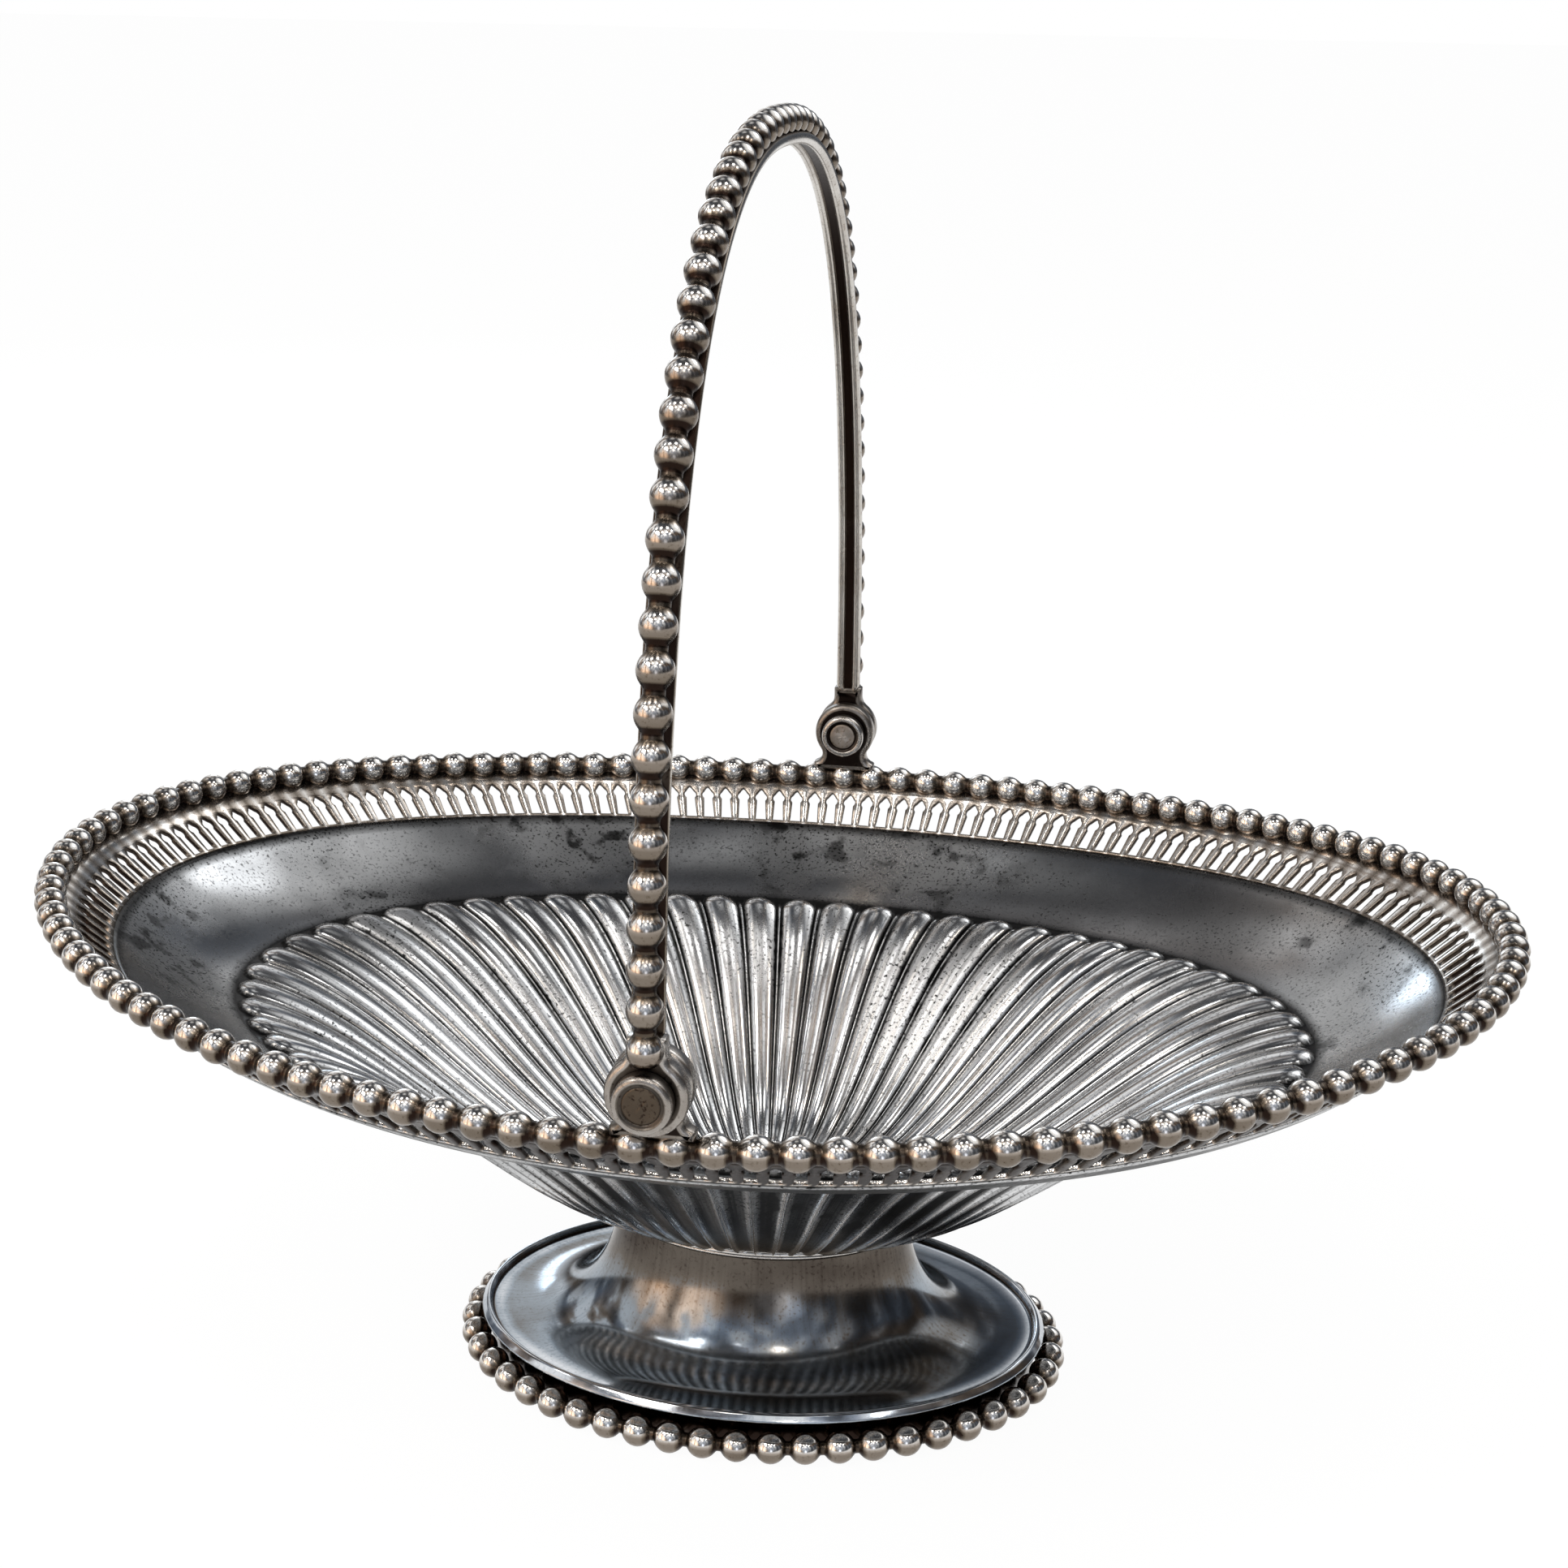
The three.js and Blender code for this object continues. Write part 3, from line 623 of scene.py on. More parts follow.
def make_gallery():
    """Sloping sheet from the crease to the beads, with keyhole slots cut right through."""
    edge = slot_half_outline()
    turns = CREASE.turns(np.linspace(0, 1, 9))
    slope_length = np.linalg.norm(RIM.point(turns) - CREASE.point(turns), axis=1).min()
    heights = np.concatenate([
        [-GALLERY_BELOW_CREASE, SLOT_SILL * 0.5], edge[:, 1], [SLOT_TOP + ABOVE_SLOTS, slope_length],
    ])
    rows = len(heights)
    first_open, last_open = 2, 1 + len(edge)
    crease_length = distances(CREASE.point(np.linspace(0, 2 * math.pi, 2001)))[-1]
    half = np.zeros(rows)
    half[first_open:last_open + 1] = edge[:, 0]
    half[:first_open] = edge[0, 0]

    def surface(share, up, depth):
        turn = CREASE.turns(share % 1.0)
        low = CREASE.point(turn)
        slope = RIM.point(turn) - low
        length = np.linalg.norm(slope, axis=-1)
        top = length - GALLERY_UNDER_BEADS
        # Heights above the slots stretch to reach the beads all the way round
        up = np.where(up > slope_length - 1e-9, top, up)
        slope = unit(slope)
        step = 1e-4
        along = CREASE.point(turn + step) - CREASE.point(turn - step)
        outwards = unit(np.cross(along, slope))
        return (low + slope * up[..., None] + outwards * depth).reshape(-1, 3)

    points, tarnish_and_shade, faces, grids = [], [], [], []
    slots = np.arange(SLOTS)[:, None]

    def add_grid(share, depth, stain_and_shade):
        """Adds a point at each share of the crease and each row's height. Returns their numbers."""
        first = sum(len(part) for part in points)
        points.append(surface(share, np.broadcast_to(heights[None], share.shape), depth))
        tarnish_and_shade.append(stain_and_shade.ravel())
        return first + np.arange(share.size).reshape(share.shape)

    for side in (-1, 1):
        for grow, depth, stain_and_shade in SLOT_LAYERS:
            offset = np.where(half > 0, half + grow, 0.0)
            share = (slots + 0.5 + side * offset[None] / crease_length * SLOTS) / SLOTS
            stain_and_shade_values = np.full(share.shape, stain_and_shade)
            if depth:
                stain_and_shade_values[:, first_open] = 0.0
            grids.append(add_grid(share, depth, stain_and_shade_values))
    left, right = grids[:4], grids[4:]
    bars = []
    for depth, stain_and_shade in BAR_FACE_SHADES.items():
        share = np.broadcast_to(slots / SLOTS, (SLOTS, rows))
        bars.append(add_grid(share, depth, np.full(share.shape, stain_and_shade)))
    next_bars = [np.roll(bar, -1, axis=0) for bar in bars]

    def strip(one, other, low, high, flip):
        a, b = one[:, low:high], one[:, low + 1:high + 1]
        c, d = other[:, low + 1:high + 1], other[:, low:high]
        quads = np.stack([a, d, c, b] if flip else [a, b, c, d], -1).reshape(-1, 4)
        faces.extend(quads.tolist())

    last = rows - 1
    front = (bars[0], left[0], right[0], next_bars[0])
    back = (bars[1], left[3], right[3], next_bars[1])
    for (bar, slot_left, slot_right, next_bar), flip in ((front, True), (back, False)):
        strip(bar, slot_left, 0, last, flip)
        strip(slot_right, next_bar, 0, last, flip)
        strip(slot_left, slot_right, 0, first_open, flip)
    for inner, outer in ((0, 1), (1, 2), (2, 3)):
        strip(left[inner], left[outer], first_open, last_open, True)
        strip(right[inner], right[outer], first_open, last_open, False)
        sill = [grid[:, first_open] for grid in (left[inner], left[outer], right[outer], right[inner])]
        faces.extend(np.stack(sill, -1).tolist())
    for row in (0, last):
        for corners in zip(front, front[1:], back[1:], back):
            quad = np.stack([grid[:, row] for grid in corners], -1)
            faces.extend((quad if row else quad[:, ::-1]).tolist())
    add_piece(
        "slotted_gallery", np.concatenate(points), faces, np.concatenate(tarnish_and_shade),
        "gallery_silver", "basket", ["pierced_gallery"],
    )


make_gallery()


# Beaded wires

def sweep_beads(name, line, beads, closed, nodes, body, painted_shade_side, neck=BEAD_NECK_RADIUS):
    """Round beads on a thinner wire, with soft fillets between. line gives points, inward and sideways
    directions by distance along it. An open wire starts and ends with a whole bead. The side function
    gives the share of the surface that gets painted shade, darkened in colour to stand in for the shade and
    dark reflection under the wire."""
    pitch = line(np.zeros(1))[3] / (beads if closed else beads - 1)
    offsets = BEAD_HALF_LENGTH * np.sin(np.linspace(-0.5, 0.5, BEAD_ROWS) * math.pi)
    offsets = np.append(offsets, pitch / 2)
    number, offset = [part.ravel() for part in np.meshgrid(np.arange(beads), offsets, indexing="ij")]
    if not closed:
        inside = ((number > 0) | (offset >= 0)) & ((number < beads - 1) | (offset <= 0))
        number, offset = number[inside], offset[inside]
        pole = BEAD_HALF_LENGTH * np.sin(np.linspace(-0.497, -0.05, END_CAP_ROWS) * math.pi)
        caps = np.ones(END_CAP_ROWS, int)
        number = np.concatenate([0 * caps, number, (beads - 1) * caps])
        offset = np.concatenate([pole, offset, -pole[::-1]])
    tilt = np.clip(offset / BEAD_HALF_LENGTH, -1.0, 1.0)
    upright = np.sqrt(1 - tilt ** 2)
    wire = np.full(len(offset), neck)
    if not closed:
        wire[:END_CAP_ROWS] = wire[-END_CAP_ROWS:] = 0.0
    radii = ((BEAD_RADIUS * upright) ** 6 + wire ** 6) ** (1 / 6)
    distance = pitch * (number + (0.5 if closed else 0.0)) + offset
    centre, inward, sideways, _ = line(distance)
    along = unit(np.gradient(centre, axis=0))
    angle = full_turn(BEAD_SIDES)
    ring = inward[:, None] * np.cos(angle)[None, :, None] + sideways[:, None] * np.sin(angle)[None, :, None]
    points = (centre[:, None] + ring * radii[:, None, None]).reshape(-1, 3)
    normal = ring * upright[:, None, None] + (along * tilt[:, None])[:, None]
    # Painted shade: the side picked by the side function is darkened in colour; the dark at the necks is
    # tarnish in the hollows
    soot_and_painted_shade = smooth_step(painted_shade_side(normal, inward[:, None]), 0.02, 0.50)
    dark = 1 - smooth_step(radii, 1.05 * neck, 0.88 * BEAD_RADIUS)
    tarnish_and_shade = 0.02 + 0.80 * dark[:, None] + 0.55 * soot_and_painted_shade
    faces = skin(len(distance), BEAD_SIDES, closed).tolist()
    if not closed:
        faces.append(list(range(BEAD_SIDES))[::-1])
        faces.append(list(range(len(points) - BEAD_SIDES, len(points))))
    add_piece(name, points, faces, tarnish_and_shade.ravel(), "bead_silver", body, nodes)


def oval_line(oval):
    length = distances(oval.point(np.linspace(0, 2 * math.pi, 4001)))[-1]

    def line(distance):
        turn = oval.turns(distance / length)
        step = 1e-4
        along = unit(oval.point(turn + step) - oval.point(turn - step))
        inward = unit(np.cross(UP, along))
        return oval.point(turn), inward, np.cross(along, inward), length
    return line


def painted_underside_shade(normal, inward):
    """Share of a bead's surface that gets painted shade: the part that faces down, and a little outwards."""
    return 0.12 - normal[..., 2] - 0.35 * (normal * inward).sum(-1)


FOOT_BEAD_LINE = Oval(FOOT_HALF_LENGTH, FOOT_HALF_WIDTH, FOOT_BEAD_HEIGHT)
sweep_beads("rim_beads", oval_line(RIM), RIM_BEADS, True, ["rim_bead_border"], "basket", painted_underside_shade)
sweep_beads(
    "foot_beads", oval_line(FOOT_BEAD_LINE), FOOT_BEADS, True, ["foot_bead_border"], "basket", painted_underside_shade,
    FOOT_NECK_RADIUS,
)


# Foot and collar

OVAL_COLUMNS = 288


def sweep_oval(name, section, tarnish_and_shade, slot, nodes):
    """Closed section of (half length, half width, height) corners, swept round the oval."""
    turn = full_turn(OVAL_COLUMNS)
    rings = [Oval(*corner).point(turn) for corner in section]
    points = np.concatenate(rings)
    climb = distances(np.array(section))
    lay = np.stack([np.tile(turn * section[0][0], len(section)), np.repeat(climb, OVAL_COLUMNS)], -1)
    faces = skin(len(section), OVAL_COLUMNS, True)
    add_piece(name, points, faces, np.repeat(tarnish_and_shade, OVAL_COLUMNS), slot, "basket", nodes, lay)


def make_collar():
    """Two thin round mouldings under the bowl, the upper one wider."""
    top = NECK_TOP + COLLAR_ABOVE_NECK
    foot = NECK_TOP - COLLAR_HEIGHT
    upper = arc((UPPER_MOULDING_OUT, top - UPPER_MOULDING_RADIUS), UPPER_MOULDING_RADIUS, 90, -80, 9)
    lower = arc((LOWER_MOULDING_OUT, top - LOWER_MOULDING_DROP), LOWER_MOULDING_RADIUS, 70, -80, 8)
    section = [(-COLLAR_BEHIND_NECK, top), *upper, (MOULDING_GROOVE_OUT, top - MOULDING_GROOVE_DROP), *lower]
    section += [(0.0004, foot), (-COLLAR_BEHIND_NECK, foot)]
    # The mouldings' crowns are rubbed clean, the groove between them is black
    dark = [0.8, 0.5, *[0.05] * 7, 0.6, 1.0, 0.6, *[0.08] * 6, 0.7, 0.9, 0.9]
    corners = [(NECK_HALF_LENGTH + out, NECK_HALF_WIDTH + out, height) for out, height in section]
    sweep_oval("neck_mouldings", corners, np.array(dark), "moulding_silver", ["bowl_collar"])


# Edge of the foot, from the dish outwards: fine groove, round lip, dark step down to the wall behind the
# beads, and the wall. Millimetres in from the bead line, millimetres up, and stain.
FOOT_EDGE = (
    (5.6, 8.12, 0.05), (4.6, 8.2, 0.08), (4.15, 8.28, 0.25), (3.95, 8.16, 0.9), (3.75, 8.2, 0.9),
    (3.62, 8.7, 0.3), (3.45, 9.15, 0.05), (3.25, 9.45, 0.0), (3.0, 9.58, 0.0), (2.75, 9.56, 0.0),
    (2.5, 9.40, 0.0), (2.2, 9.05, 0.0), (1.9, 8.68, 0.0), (1.6, 8.32, 0.05), (1.38, 8.02, 0.4),
    (1.8, 7.75, 0.8), (2.6, 7.55, 1.0), (3.2, 7.3, 1.0), (3.42, 6.9, 1.0), (3.45, 6.0, 1.0),
    (3.45, 0.3, 0.9), (3.65, 0.0, 0.6),
)
# Foot's outside: tarnish and painted shade over the dish, and more painted shade towards the neck under the
# bowl
DISH_TARNISH_AND_SHADE = 0.34
NECK_PAINTED_SHADE = 0.40
INSIDE_STAIN = 0.55


def make_foot():
    def inset(distance, height):
        return (FOOT_HALF_LENGTH - distance, FOOT_HALF_WIDTH - distance, height)

    neck = np.array([NECK_HALF_LENGTH, NECK_HALF_WIDTH, NECK_TOP - COLLAR_HEIGHT])
    knee = np.array([*(neck[:2] + TRUMPET_KNEE), DISH_HEIGHT])
    trumpet = (neck, neck + NECK_PULL, knee, np.array(inset(DISH_INSET, DISH_HEIGHT)))
    # Outside from the neck down to the dish, darker at the neck under the bowl as painted shade
    rows = [(neck[0], neck[1], NECK_TOP, 0.6)]
    for t in np.linspace(0, 1, 34):
        rows.append((*bezier(trumpet, t), DISH_TARNISH_AND_SHADE + NECK_PAINTED_SHADE * (1 - smooth_step(t, 0.08, 0.48))))
    rows += [(*inset(distance / 1000, height / 1000), stain_and_shade) for distance, height, stain_and_shade in FOOT_EDGE]
    # Wall's inside, and the hollow of the trumpet up to the neck
    rows += [(*inset(WALL_INNER_INSET - TINY_EDGE, 0.0), 0.6), (*inset(WALL_INNER_INSET, TINY_EDGE), 0.6)]
    rows.append((*inset(WALL_INNER_INSET, DISH_HEIGHT - FOOT_SHEET - WALL_FILLET), 0.8))
    for t in np.linspace(1, 0, 24):
        turn = math.pi / 2 * (1 - t)
        inwards, downwards = FOOT_SHEET * math.sin(turn), FOOT_SHEET * math.cos(turn)
        rows.append((*(bezier(trumpet, t) - np.array([inwards, inwards, downwards])), INSIDE_STAIN))
    rows.append((neck[0] - FOOT_SHEET, neck[1] - FOOT_SHEET, NECK_TOP, INSIDE_STAIN))
    section = [row[:3] for row in rows]
    dark = np.array([row[3] for row in rows])
    sweep_oval("trumpet_foot", section, dark, "foot_silver", ["pedestal_foot"])


make_collar()
make_foot()


# Hinges

def rounded_plate(name, outline, near, far, side, body, node, stain_and_shade):
    """Plate cut from an outline in X and Z, with round edges and a bore for the pin."""
    outline = np.asarray(outline)
    ahead = unit(np.roll(outline, -1, axis=0) - outline)
    behind = np.roll(ahead, 1, axis=0)
    bisector = unit(ahead + behind)
    inward = np.stack([-bisector[:, 1], bisector[:, 0]], -1)
    count = len(outline)
    steps = np.radians(np.linspace(90, 0, 6))
    profile = [(PLATE_FACE_INSET, 0.0)]
    profile += [(PLATE_EDGE * (1 - math.cos(a)), PLATE_EDGE * (1 - math.sin(a))) for a in steps]
    rings = [(inset, near + depth) for inset, depth in profile]
    rings += [(inset, far - depth) for inset, depth in profile[::-1]]
    points, dark = [], []

    def add_ring(flat, y, stain_and_shade):
        points.append(np.stack([flat[:, 0], np.full(len(flat), side * y), flat[:, 1]], -1))
        dark.append(np.full(len(flat), stain_and_shade))

    for inset, y in rings:
        add_ring(outline + inward * inset, y, stain_and_shade / 3 if inset < PLATE_EDGE else stain_and_shade)
    bore_count = 40
    angle = full_turn(bore_count)
    bore = BORE_RADIUS * np.stack([np.cos(angle), np.sin(angle)], -1)
    for y in (near, far):
        add_ring(bore, y, 0.9)
    faces = skin(len(rings), count).tolist()
    first_bore = len(rings) * count
    faces += skin(2, bore_count, first=first_bore).tolist()
    for ring, start in ((0, first_bore), (len(rings) - 1, first_bore + bore_count)):
        loops = [[Vector((*p, 0.0)) for p in loop] for loop in (points[ring][:, [0, 2]], bore[::-1])]
        numbers = [*range(ring * count, (ring + 1) * count), *range(start + bore_count - 1, start - 1, -1)]
        faces += [[numbers[i] for i in triangle] for triangle in tessellate_polygon(loops)]
    points, dark = np.concatenate(points), np.concatenate(dark)
    shift_up(add_piece(name, points, faces, dark, "hinge_silver", body, [node]))


def shift_up(piece):
    """Moves a mesh that was made round the pivot up to the pivot's height."""
    piece.data.transform(Matrix.Translation((0, 0, PIVOT_HEIGHT)))


def lug_outline():
    """Disc on a flared base, with a concave waist tangent to the disc."""
    base_top = LUG_BOTTOM + LUG_BASE_HEIGHT
    centre = (LUG_BASE_HALF_WIDTH + TINY_EDGE, base_top + LUG_FLARE)
    # Angle at which the flare's circle meets the disc
    toward = math.degrees(math.atan2(centre[1], centre[0]))
    right = [
        (LUG_BASE_HALF_WIDTH - TINY_EDGE, LUG_BOTTOM),
        (LUG_BASE_HALF_WIDTH, LUG_BOTTOM + SMALL_EDGE),
        (LUG_BASE_HALF_WIDTH, base_top),
    ]
    reach = math.hypot(*centre) - PLATE_RADIUS
    right += arc(centre, reach, 255, 180 + toward, 8)
    disc = arc((0, 0), PLATE_RADIUS, toward, 180 - toward, 49)[1:-1]
    left = [(-x, z) for x, z in right[::-1]]
    bottom = [(x, LUG_BOTTOM) for x in (-0.005, -0.0025, 0.0, 0.0025, 0.005)]
    return right + disc + left + bottom


def eye_outline():
    """Disc that narrows through two concave fillets into the neck under the handle."""
    reach = PLATE_RADIUS + NECK_FILLET
    out = EYE_NECK_HALF_WIDTH + NECK_FILLET
    centre = (out, math.sqrt(reach ** 2 - out ** 2))
    toward = math.degrees(math.atan2(centre[1], centre[0]))
    disc = arc((0, 0), PLATE_RADIUS, 180 - toward, 360 + toward, 57)
    right = arc(centre, NECK_FILLET, 180 + toward, 180, 8)[1:]
    right.append((EYE_NECK_HALF_WIDTH, EYE_NECK_TOP - SMALL_EDGE))
    right.append((EYE_NECK_HALF_WIDTH - SMALL_EDGE, EYE_NECK_TOP))
    left = [(-x, z) for x, z in right[::-1]]
    return disc + right + left


def lathe(name, rows, side, slot, wobble=None):
    """Rows of (radius, distance from the middle plane, stain) turned round the pivot's axis."""
    sides = 64
    angle = full_turn(sides)
    closed = rows[0] == rows[-1]
    if closed:
        rows = rows[:-1]
    rings = []
    for radius, y, _ in rows:
        ring = np.stack([radius * np.cos(angle), np.full(sides, y), radius * np.sin(angle)], -1)
        if wobble:
            ring[:, 1] += wobble(radius, angle)
        rings.append(ring)
    points = np.concatenate(rings)
    points[:, 1] *= side
    stain_and_shade_values = np.repeat([row[2] for row in rows], sides)
    faces = skin(len(rows), sides, closed).tolist()
    shift_up(add_piece(name, points, faces, stain_and_shade_values, slot, "basket", [name]))


def make_washer(name, inner_y, outer_y, side, ring, recess):
    """Turned boss: round outer edge, flat ring and a shallow recess round the pin."""
    outward = 1 if outer_y > inner_y else -1
    start = (BORE_RADIUS, inner_y, 0.9)
    rows = [
        start,
        (WASHER_RADIUS - TINY_EDGE, inner_y, 0.8),
        (WASHER_RADIUS, inner_y + outward * TINY_EDGE, 0.6),
    ]
    # Radius, depth under the ring and stain, from the round edge inwards
    round_edge = arc((WASHER_RADIUS - WASHER_EDGE, WASHER_EDGE), WASHER_EDGE, 0, -90, 7)
    inwards = [(radius, depth, ring / 2) for radius, depth in round_edge]
    inwards += [
        (0.0041, 0.0, ring),
        (0.0040, 0.00004, ring),
        (0.00385, 0.00022, recess),
        (0.0037, PIN_RECESS, recess),
        (BORE_RADIUS, PIN_RECESS, recess),
    ]
    rows += [(radius, outer_y - outward * depth, stain_and_shade) for radius, depth, stain_and_shade in inwards]
    lathe(name, [*rows, start], side, "hinge_silver")


def make_pin(name, side):
    """Rivet with a hammered face at both ends, set back in the washers."""
    outer = OUTER_WASHER_END - PIN_RECESS
    inner = INNER_WASHER_END + PIN_RECESS
    rows = [(PIN_MIDDLE, inner - PIN_DOME, 0.1)]
    shares = np.linspace(0.12, 0.9, 8)
    rows += [(PIN_RADIUS * s, inner - PIN_DOME * (1 - s * s), 0.1 + 0.2 * s) for s in shares]
    rows += [(PIN_RADIUS * 0.97, inner + 0.00008, 0.6), (PIN_RADIUS, inner + SMALL_EDGE, 1.0)]
    rows += [(PIN_HEAD_RADIUS, outer - 0.001, 0.9), (PIN_HEAD_RADIUS, outer, 0.72)]
    rows += [(PIN_RADIUS * s, outer, 0.72) for s in shares[::-1]]
    rows += [(PIN_MIDDLE, outer, 0.74)]

    def hammered(radius, angle):
        fade = np.clip(1 - radius / PIN_RADIUS, 0.0, 1.0) * min(radius / (0.3 * PIN_RADIUS), 1.0)
        dents = np.sin(3 * angle + 900 * radius) + 0.6 * np.sin(5 * angle - 2100 * radius)
        return HAMMER_DEPTH * fade * dents

    lathe(name, rows, side, "pin_silver", hammered)


for end, side in (("front", -1), ("rear", 1)):
    rounded_plate(
        f"lug_{end}", lug_outline(), LUG_INNER, LUG_OUTER, side, "basket", f"hinge_lug_{end}", 0.88,
    )
    rounded_plate(
        f"eye_{end}", eye_outline(), EYE_INNER, EYE_OUTER, side, "handle", f"handle_eye_{end}", 0.74,
    )
    make_washer(f"outer_washer_{end}", OUTER_WASHER_START, OUTER_WASHER_END, side, 0.58, 0.76)
    make_washer(f"inner_washer_{end}", LUG_INNER, INNER_WASHER_END, side, 0.14, 0.85)
    make_pin(f"hinge_pin_{end}", side)


# Handle

def arch_point(u):
    """Arch from the front leg over the top to the rear leg, for u from 0 to 1."""
    turn = math.pi * u
    power = 2 / HANDLE_EXPONENT
    across = -HANDLE_HALF_SPAN * np.sign(np.cos(turn)) * np.abs(np.cos(turn)) ** power
    height = PIVOT_HEIGHT + HANDLE_REACH * np.abs(np.sin(turn)) ** power
    return np.stack([np.zeros_like(turn), across, height], -1)


ARCH_FINE = arch_point(np.linspace(0, 1, 20001))
ARCH_LENGTHS = distances(ARCH_FINE)
ARCH_LENGTH = ARCH_LENGTHS[-1]


def arch_at(distance):
    """Point and inward direction at a distance along the arch."""
    def place(d):
        return np.stack([np.interp(d, ARCH_LENGTHS, ARCH_FINE[:, axis]) for axis in range(3)], -1)
    step = 0.0004
    along = unit(place(distance + step) - place(distance - step))
    return place(distance), np.cross(along, LENGTHWISE)


BEAD_RUN = ARCH_LENGTH - 2 * FIRST_BEAD_ABOVE_PIVOT
HANDLE_BEADS = round(BEAD_RUN / BEAD_PITCH) + 1


def handle_line(distance):
    centre, inward = arch_at(FIRST_BEAD_ABOVE_PIVOT + distance)
    return centre, inward, np.broadcast_to(LENGTHWISE, centre.shape), BEAD_RUN


def painted_strip_shade(normal, inward):
    """Share of a bead's surface that gets painted shade: the part that faces the strip, or downwards."""
    return np.maximum((normal * inward).sum(-1), 0.42 - 0.8 * normal[..., 2])


sweep_beads("handle_beads", handle_line, HANDLE_BEADS, False, ["handle_bead_strip"], "handle", painted_strip_shade)


def make_strip():
    """Strip behind the handle's beads: flat outer face, two reeds with a dark groove between."""
    half = STRIP_HALF_WIDTH
    reed_middle, reed = 0.65 * half, 0.35 * half
    inner = []
    for across in np.linspace(-half, half, 41):
        bulge = 1 - ((abs(across) - reed_middle) / reed) ** 2
        depth = STRIP_FLANGE + (STRIP_THICKNESS - STRIP_FLANGE) * math.sqrt(max(bulge, 0.0))
        if abs(across) < reed_middle:
            depth = max(depth, STRIP_THICKNESS - STRIP_GROOVE)
        inner.append((across, depth))
    flat = half - SMALL_EDGE
    section = np.array([(-half, SMALL_EDGE), (-flat, 0.0), (flat, 0.0), (half, SMALL_EDGE), *inner[::-1]])
    dark = np.full(len(section), 0.06)
    dark[abs(section[:, 0]) < 1.1 * (reed_middle - reed)] = 0.95
    dark[1:3] = 0.9
    ends = half * (1 - np.cos(np.linspace(0.12, math.pi / 2, 8)))
    length = ARCH_LENGTH - 2 * STRIP_START
    first = half + 0.001
    distance = np.concatenate([ends, np.linspace(first, length - first, 190), length - ends[::-1]])
    to_end = np.minimum(distance, length - distance)
    narrow = np.sqrt(np.clip(1 - (1 - np.minimum(to_end / half, 1.0)) ** 2, 0.0, 1.0))
    centre, inward = arch_at(STRIP_START + distance)
    centre = centre + inward * STRIP_BEHIND_BEADS
    points = centre[:, None] + LENGTHWISE * (section[None, :, :1] * narrow[:, None, None])
    points = points + inward[:, None] * (section[None, :, 1:] * (0.35 + 0.65 * narrow[:, None, None]))
    rows, sides = points.shape[:2]
    faces = skin(rows, sides).tolist()
    faces.append(list(range(sides))[::-1])
    faces.append(list(range((rows - 1) * sides, rows * sides)))
    add_piece(
        "reeded_strip", points.reshape(-1, 3), faces, np.tile(dark, rows),
        "strip_silver", "handle", ["handle_inner_strip"],
    )


make_strip()


# Floor, backdrop and light

FLOOR_GLOW_SHARE = 0.93
FLOOR_GLOW = 1.03
FLOOR_COLOUR = (0.95, 0.945, 0.94, 1.0)
FLOOR_SIZE = 40.0
MATT_LEVEL = 0.42

# Tent: cloth colours, and where it glows or opens, as azimuth from +Y to +X, elevation, and the angles at
# which that ends and is full, in degrees
TENT_RADIUS = 1.9
TENT_SIDES = 64
TENT_RISES = (0.02, 0.15, 0.3, 0.45, 0.6, 0.75, 0.9, 1.05, 1.2, 1.35, 1.5, 1.56)
WARM_CLOTH = (0.27, 0.20, 0.15)
COOL_CLOTH = (0.23, 0.255, 0.30)
BRIGHT_FRONT = (-122, 48, 92, 46)
CLOSED_TOP = (-20, 82, 38, 22)
WARM_GLOW = (-132, 5, 32, 6)
COOL_GLOW = (167, 4, 15, 4)
GREY_FRONT = (175, 32, 32, 12)
LEFT_WINDOW = (-24, 23, 20, 13)
RIGHT_WINDOW = (45, 47, 28, 18)
TOP_WINDOW = (-30, 72, 10, 2)


def seen_as_background(shader):
    """1 for rays from the camera, from metal and through glass."""
    path = shader.add("ShaderNodeLightPath")
    glossy = shader.math("MAXIMUM", path.outputs["Is Camera Ray"], path.outputs["Is Glossy Ray"])
    return shader.math("MAXIMUM", glossy, path.outputs["Is Transmission Ray"])


def stage_piece(name, points, faces, material):
    mesh = bpy.data.meshes.new(name)
    mesh.from_pydata(points, [], faces)
    mesh.materials.append(material)
    piece = in_scene(name, mesh)
    return piece


def make_floor():
    """Pale floor, near white to the camera and the metal. It keeps the object's shadow."""
    shader = Shader("floor")
    shader.tree.nodes.clear()
    matt = shader.add("ShaderNodeBsdfDiffuse", {"Color": FLOOR_COLOUR})
    glow = shader.add("ShaderNodeEmission", {"Strength": FLOOR_GLOW})
    shader.show(shader.times(seen_as_background(shader), FLOOR_GLOW_SHARE), matt, glow)
    corners = [(FLOOR_SIZE * x, FLOOR_SIZE * y, 0) for x, y in ((-1, -1), (1, -1), (1, 1), (-1, 1))]
    stage_piece("floor", corners, [(0, 1, 2, 3)], shader.material)


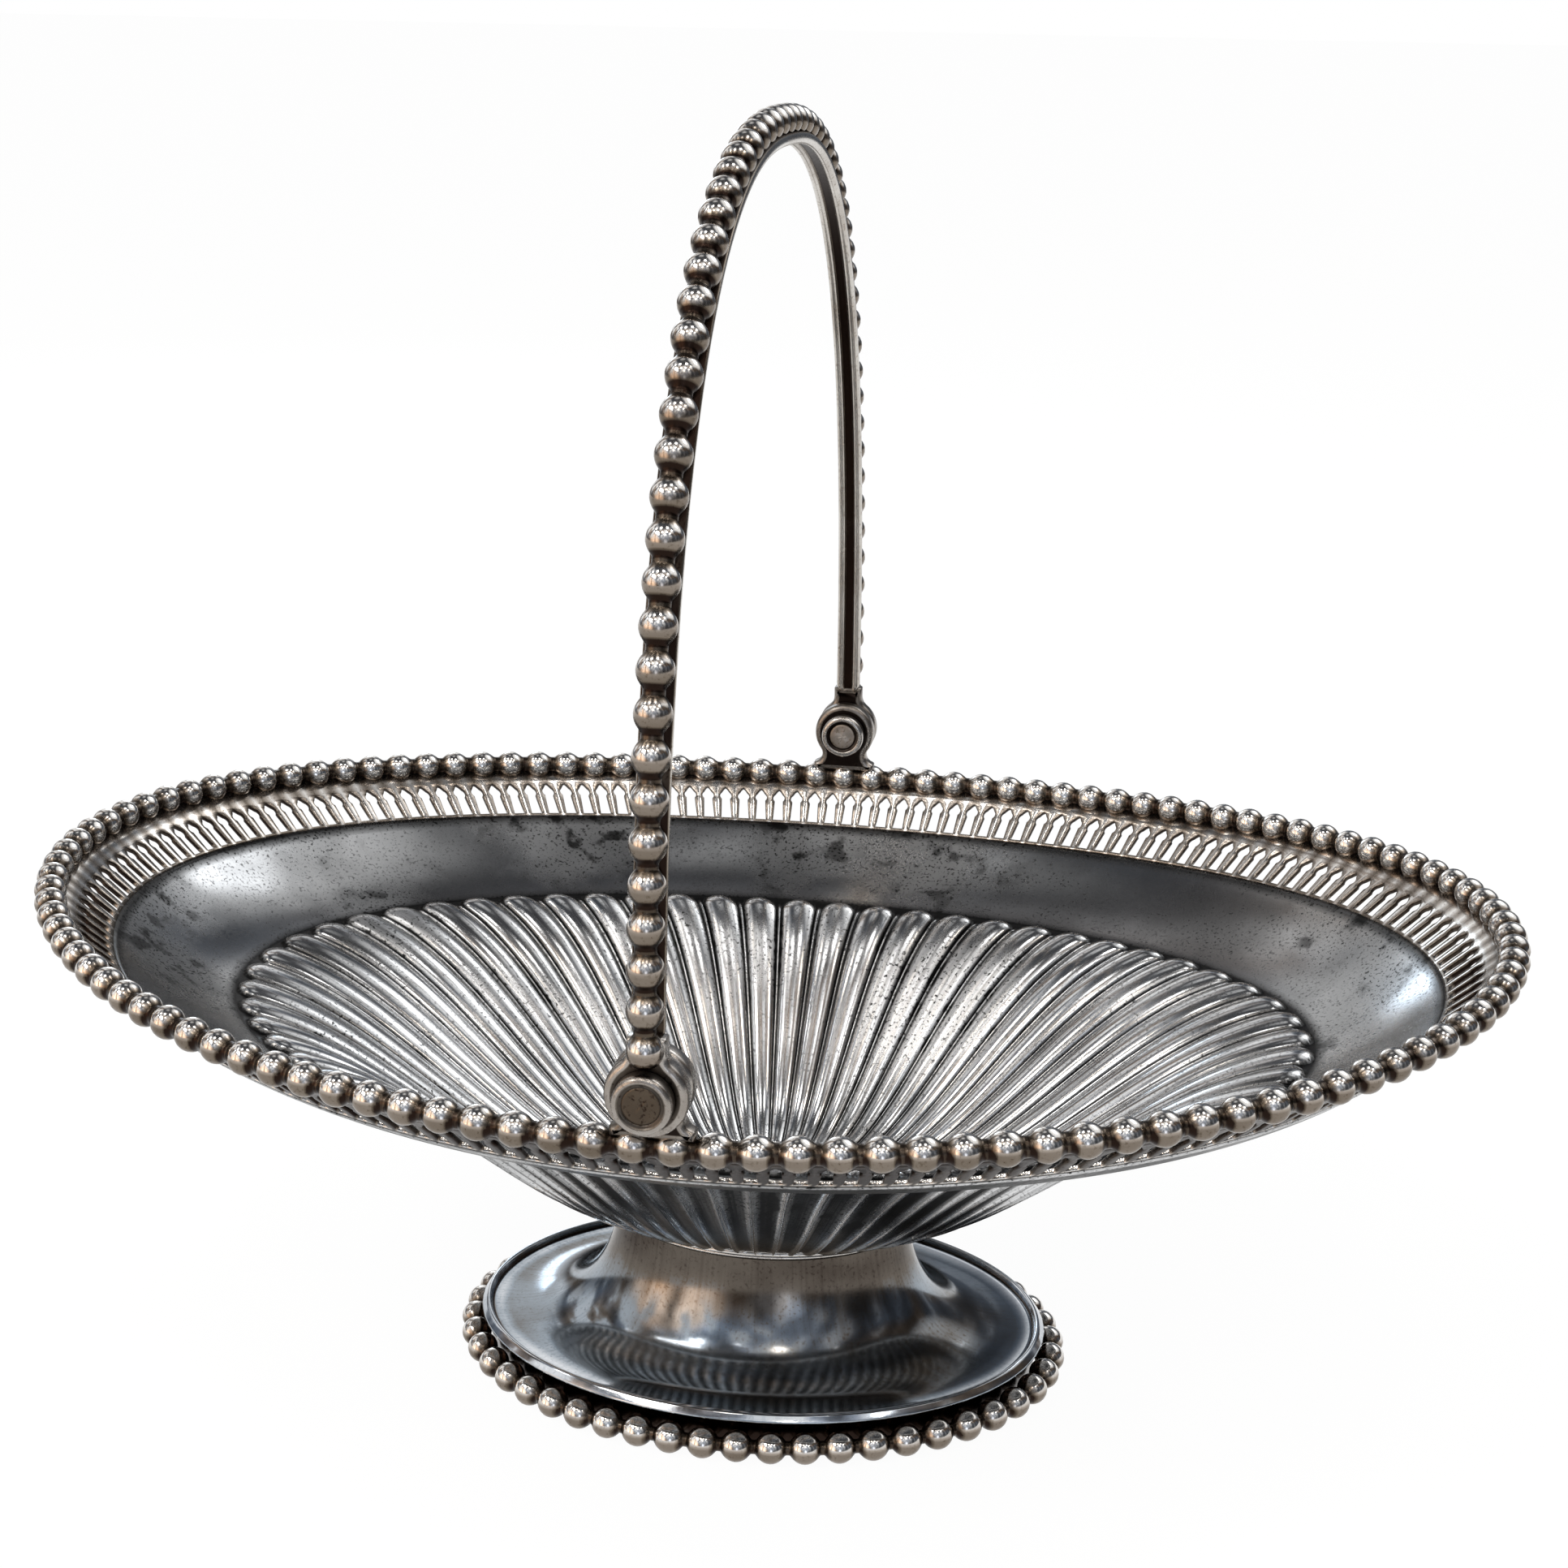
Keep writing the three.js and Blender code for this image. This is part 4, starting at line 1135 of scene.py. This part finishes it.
def make_tent():
    """Cloth hung in long folds round the table, as silver is photographed in. It is no lamp but glows all
    over:
    faintly, brighter on its folds as painted light, and brightest in a warm, a cool and a grey patch.
    Through its gaps and windows the metal sees the white studio. Only reflections show it."""
    shader = Shader("tent")
    shader.tree.nodes.clear()
    place = shader.add("ShaderNodeTexCoord").outputs["Object"]
    around = shader.add("ShaderNodeVectorMath", {0: place}, operation="NORMALIZE").outputs[0]

    def toward(*degrees):
        """1 within the inner angle of a direction, 0 outside the outer."""
        azimuth, elevation, outer, inner = (math.radians(angle) for angle in degrees)
        level = math.cos(elevation)
        middle = (math.sin(azimuth) * level, math.cos(azimuth) * level, math.sin(elevation))
        product = shader.add("ShaderNodeVectorMath", {0: around, 1: middle}, operation="DOT_PRODUCT")
        return shader.between(product.outputs["Value"], math.cos(outer), math.cos(inner))

    folds = shader.noise(around, 5.0, 3.0, stretch=(1.0, 1.0, 0.22))
    height = shader.add("ShaderNodeSeparateXYZ", {0: around}).outputs["Z"]
    above_table = shader.between(height, 0.06, 0.30)
    front = shader.times(toward(*BRIGHT_FRONT), above_table)
    top = toward(*CLOSED_TOP)
    below_top = shader.math("SUBTRACT", 1.0, top)
    warm_glow, cool_glow, grey_front = (toward(*patch) for patch in (WARM_GLOW, COOL_GLOW, GREY_FRONT))

    # The cloth's colour wanders between warm and cool. It glows brighter on its folds and in its glowing
    # patches: painted light.
    tint = shader.sum(
        shader.between(shader.noise(around, 1.6, 1.0), 0.40, 0.52), shader.times(top, 0.8),
        shader.times(warm_glow, -2.0), cool_glow, grey_front,
    )
    cloth = shader.blend(shader.held(tint), [(0.0, WARM_CLOTH), (1.0, COOL_CLOTH)])
    fold_glow = shader.times(shader.between(folds, 0.38, 0.60), shader.sum(0.45, shader.times(front, 1.35)))
    patches = shader.sum(
        shader.times(warm_glow, 19.0), shader.times(cool_glow, 12.0), shader.times(grey_front, 1.8),
    )
    strength = shader.sum(
        0.24, shader.times(fold_glow, below_top), shader.times(patches, shader.between(folds, 0.30, 0.62)),
    )
    glow = shader.add("ShaderNodeEmission", {"Color": cloth, "Strength": strength})

    gaps = shader.times(shader.between(folds, 0.52, 0.55), shader.times(shader.sum(front, 0.15), below_top))
    windows = shader.sum(toward(*LEFT_WINDOW), toward(*RIGHT_WINDOW), shader.times(toward(*TOP_WINDOW), 0.6))
    shader.show(shader.held(shader.sum(gaps, windows)), glow, shader.add("ShaderNodeBsdfTransparent"))

    points = []
    for rise in TENT_RISES:
        reach, height = TENT_RADIUS * math.cos(rise), TENT_RADIUS * math.sin(rise)
        points += [(reach * math.cos(t), reach * math.sin(t), height) for t in full_turn(TENT_SIDES)]
    faces = skin(len(TENT_RISES), TENT_SIDES).tolist()
    tent = stage_piece("tent", points, faces, shader.material)
    tent.visible_camera = False
    tent.visible_diffuse = False
    tent.visible_shadow = False


def make_world():
    """White to the camera and to reflections, lower as light on matt surfaces."""
    world = bpy.data.worlds.new("studio")
    bpy.context.scene.world = world
    shader = Shader("studio", world)
    shader.tree.nodes.clear()
    level = shader.sum(MATT_LEVEL, shader.times(seen_as_background(shader), 1.0 - MATT_LEVEL))
    background = shader.add("ShaderNodeBackground", {"Color": (1.0, 1.0, 1.0, 1.0), "Strength": level})
    shader.add("ShaderNodeOutputWorld", {"Surface": background.outputs[0]})


LAMPS_AIM = Vector((0.0, 0.0, 0.09))


def area_lamp(name, place, size, power, colour):
    """Soft lamp aimed at the basket: round if its two sizes are equal, otherwise a rectangle."""
    data = bpy.data.lights.new(name, "AREA")
    data.shape = "RECTANGLE" if size[0] != size[1] else "DISK"
    data.size, data.size_y = size
    data.energy = power
    data.color = colour
    lamp = in_scene(name, data)
    lamp.location = place
    away = Vector(place) - LAMPS_AIM
    lamp.rotation_euler = away.to_track_quat("Z", "Y").to_euler()
    lamp.visible_camera = False


def make_lamps():
    """Three soft lamps, and a grid of small ones over the table's front, whose sparks show in the beads."""
    area_lamp("soft_left", (-0.75, -0.75, 1.05), (0.5, 0.28), 3.4, (1.0, 0.98, 0.95))
    area_lamp("soft_back", (0.74, 0.95, 1.25), (0.72, 0.42), 3.0, (0.94, 0.97, 1.0))
    area_lamp("low_back", (-0.67, 1.48, 0.5), (0.34, 0.24), 1.2, (0.70, 0.85, 1.0))
    spot_height, spot_size, spot_power = 1.45, (0.22, 0.22), 1.2
    amber, ivory = (1.0, 0.90, 0.78), (1.0, 0.98, 0.96)
    for column in range(5):
        for row in range(3):
            x = -1.7 + 0.66 * column + 0.15 * (row % 2)
            y = -1.75 + 0.68 * row + 0.12 * (column % 2)
            colour = amber if (column + row) % 3 == 0 else ivory
            area_lamp(f"spot_{column}_{row}", (x, y, spot_height), spot_size, spot_power, colour)


make_floor()
make_tent()
make_world()
make_lamps()

bpy.context.scene.view_settings.view_transform = "Standard"
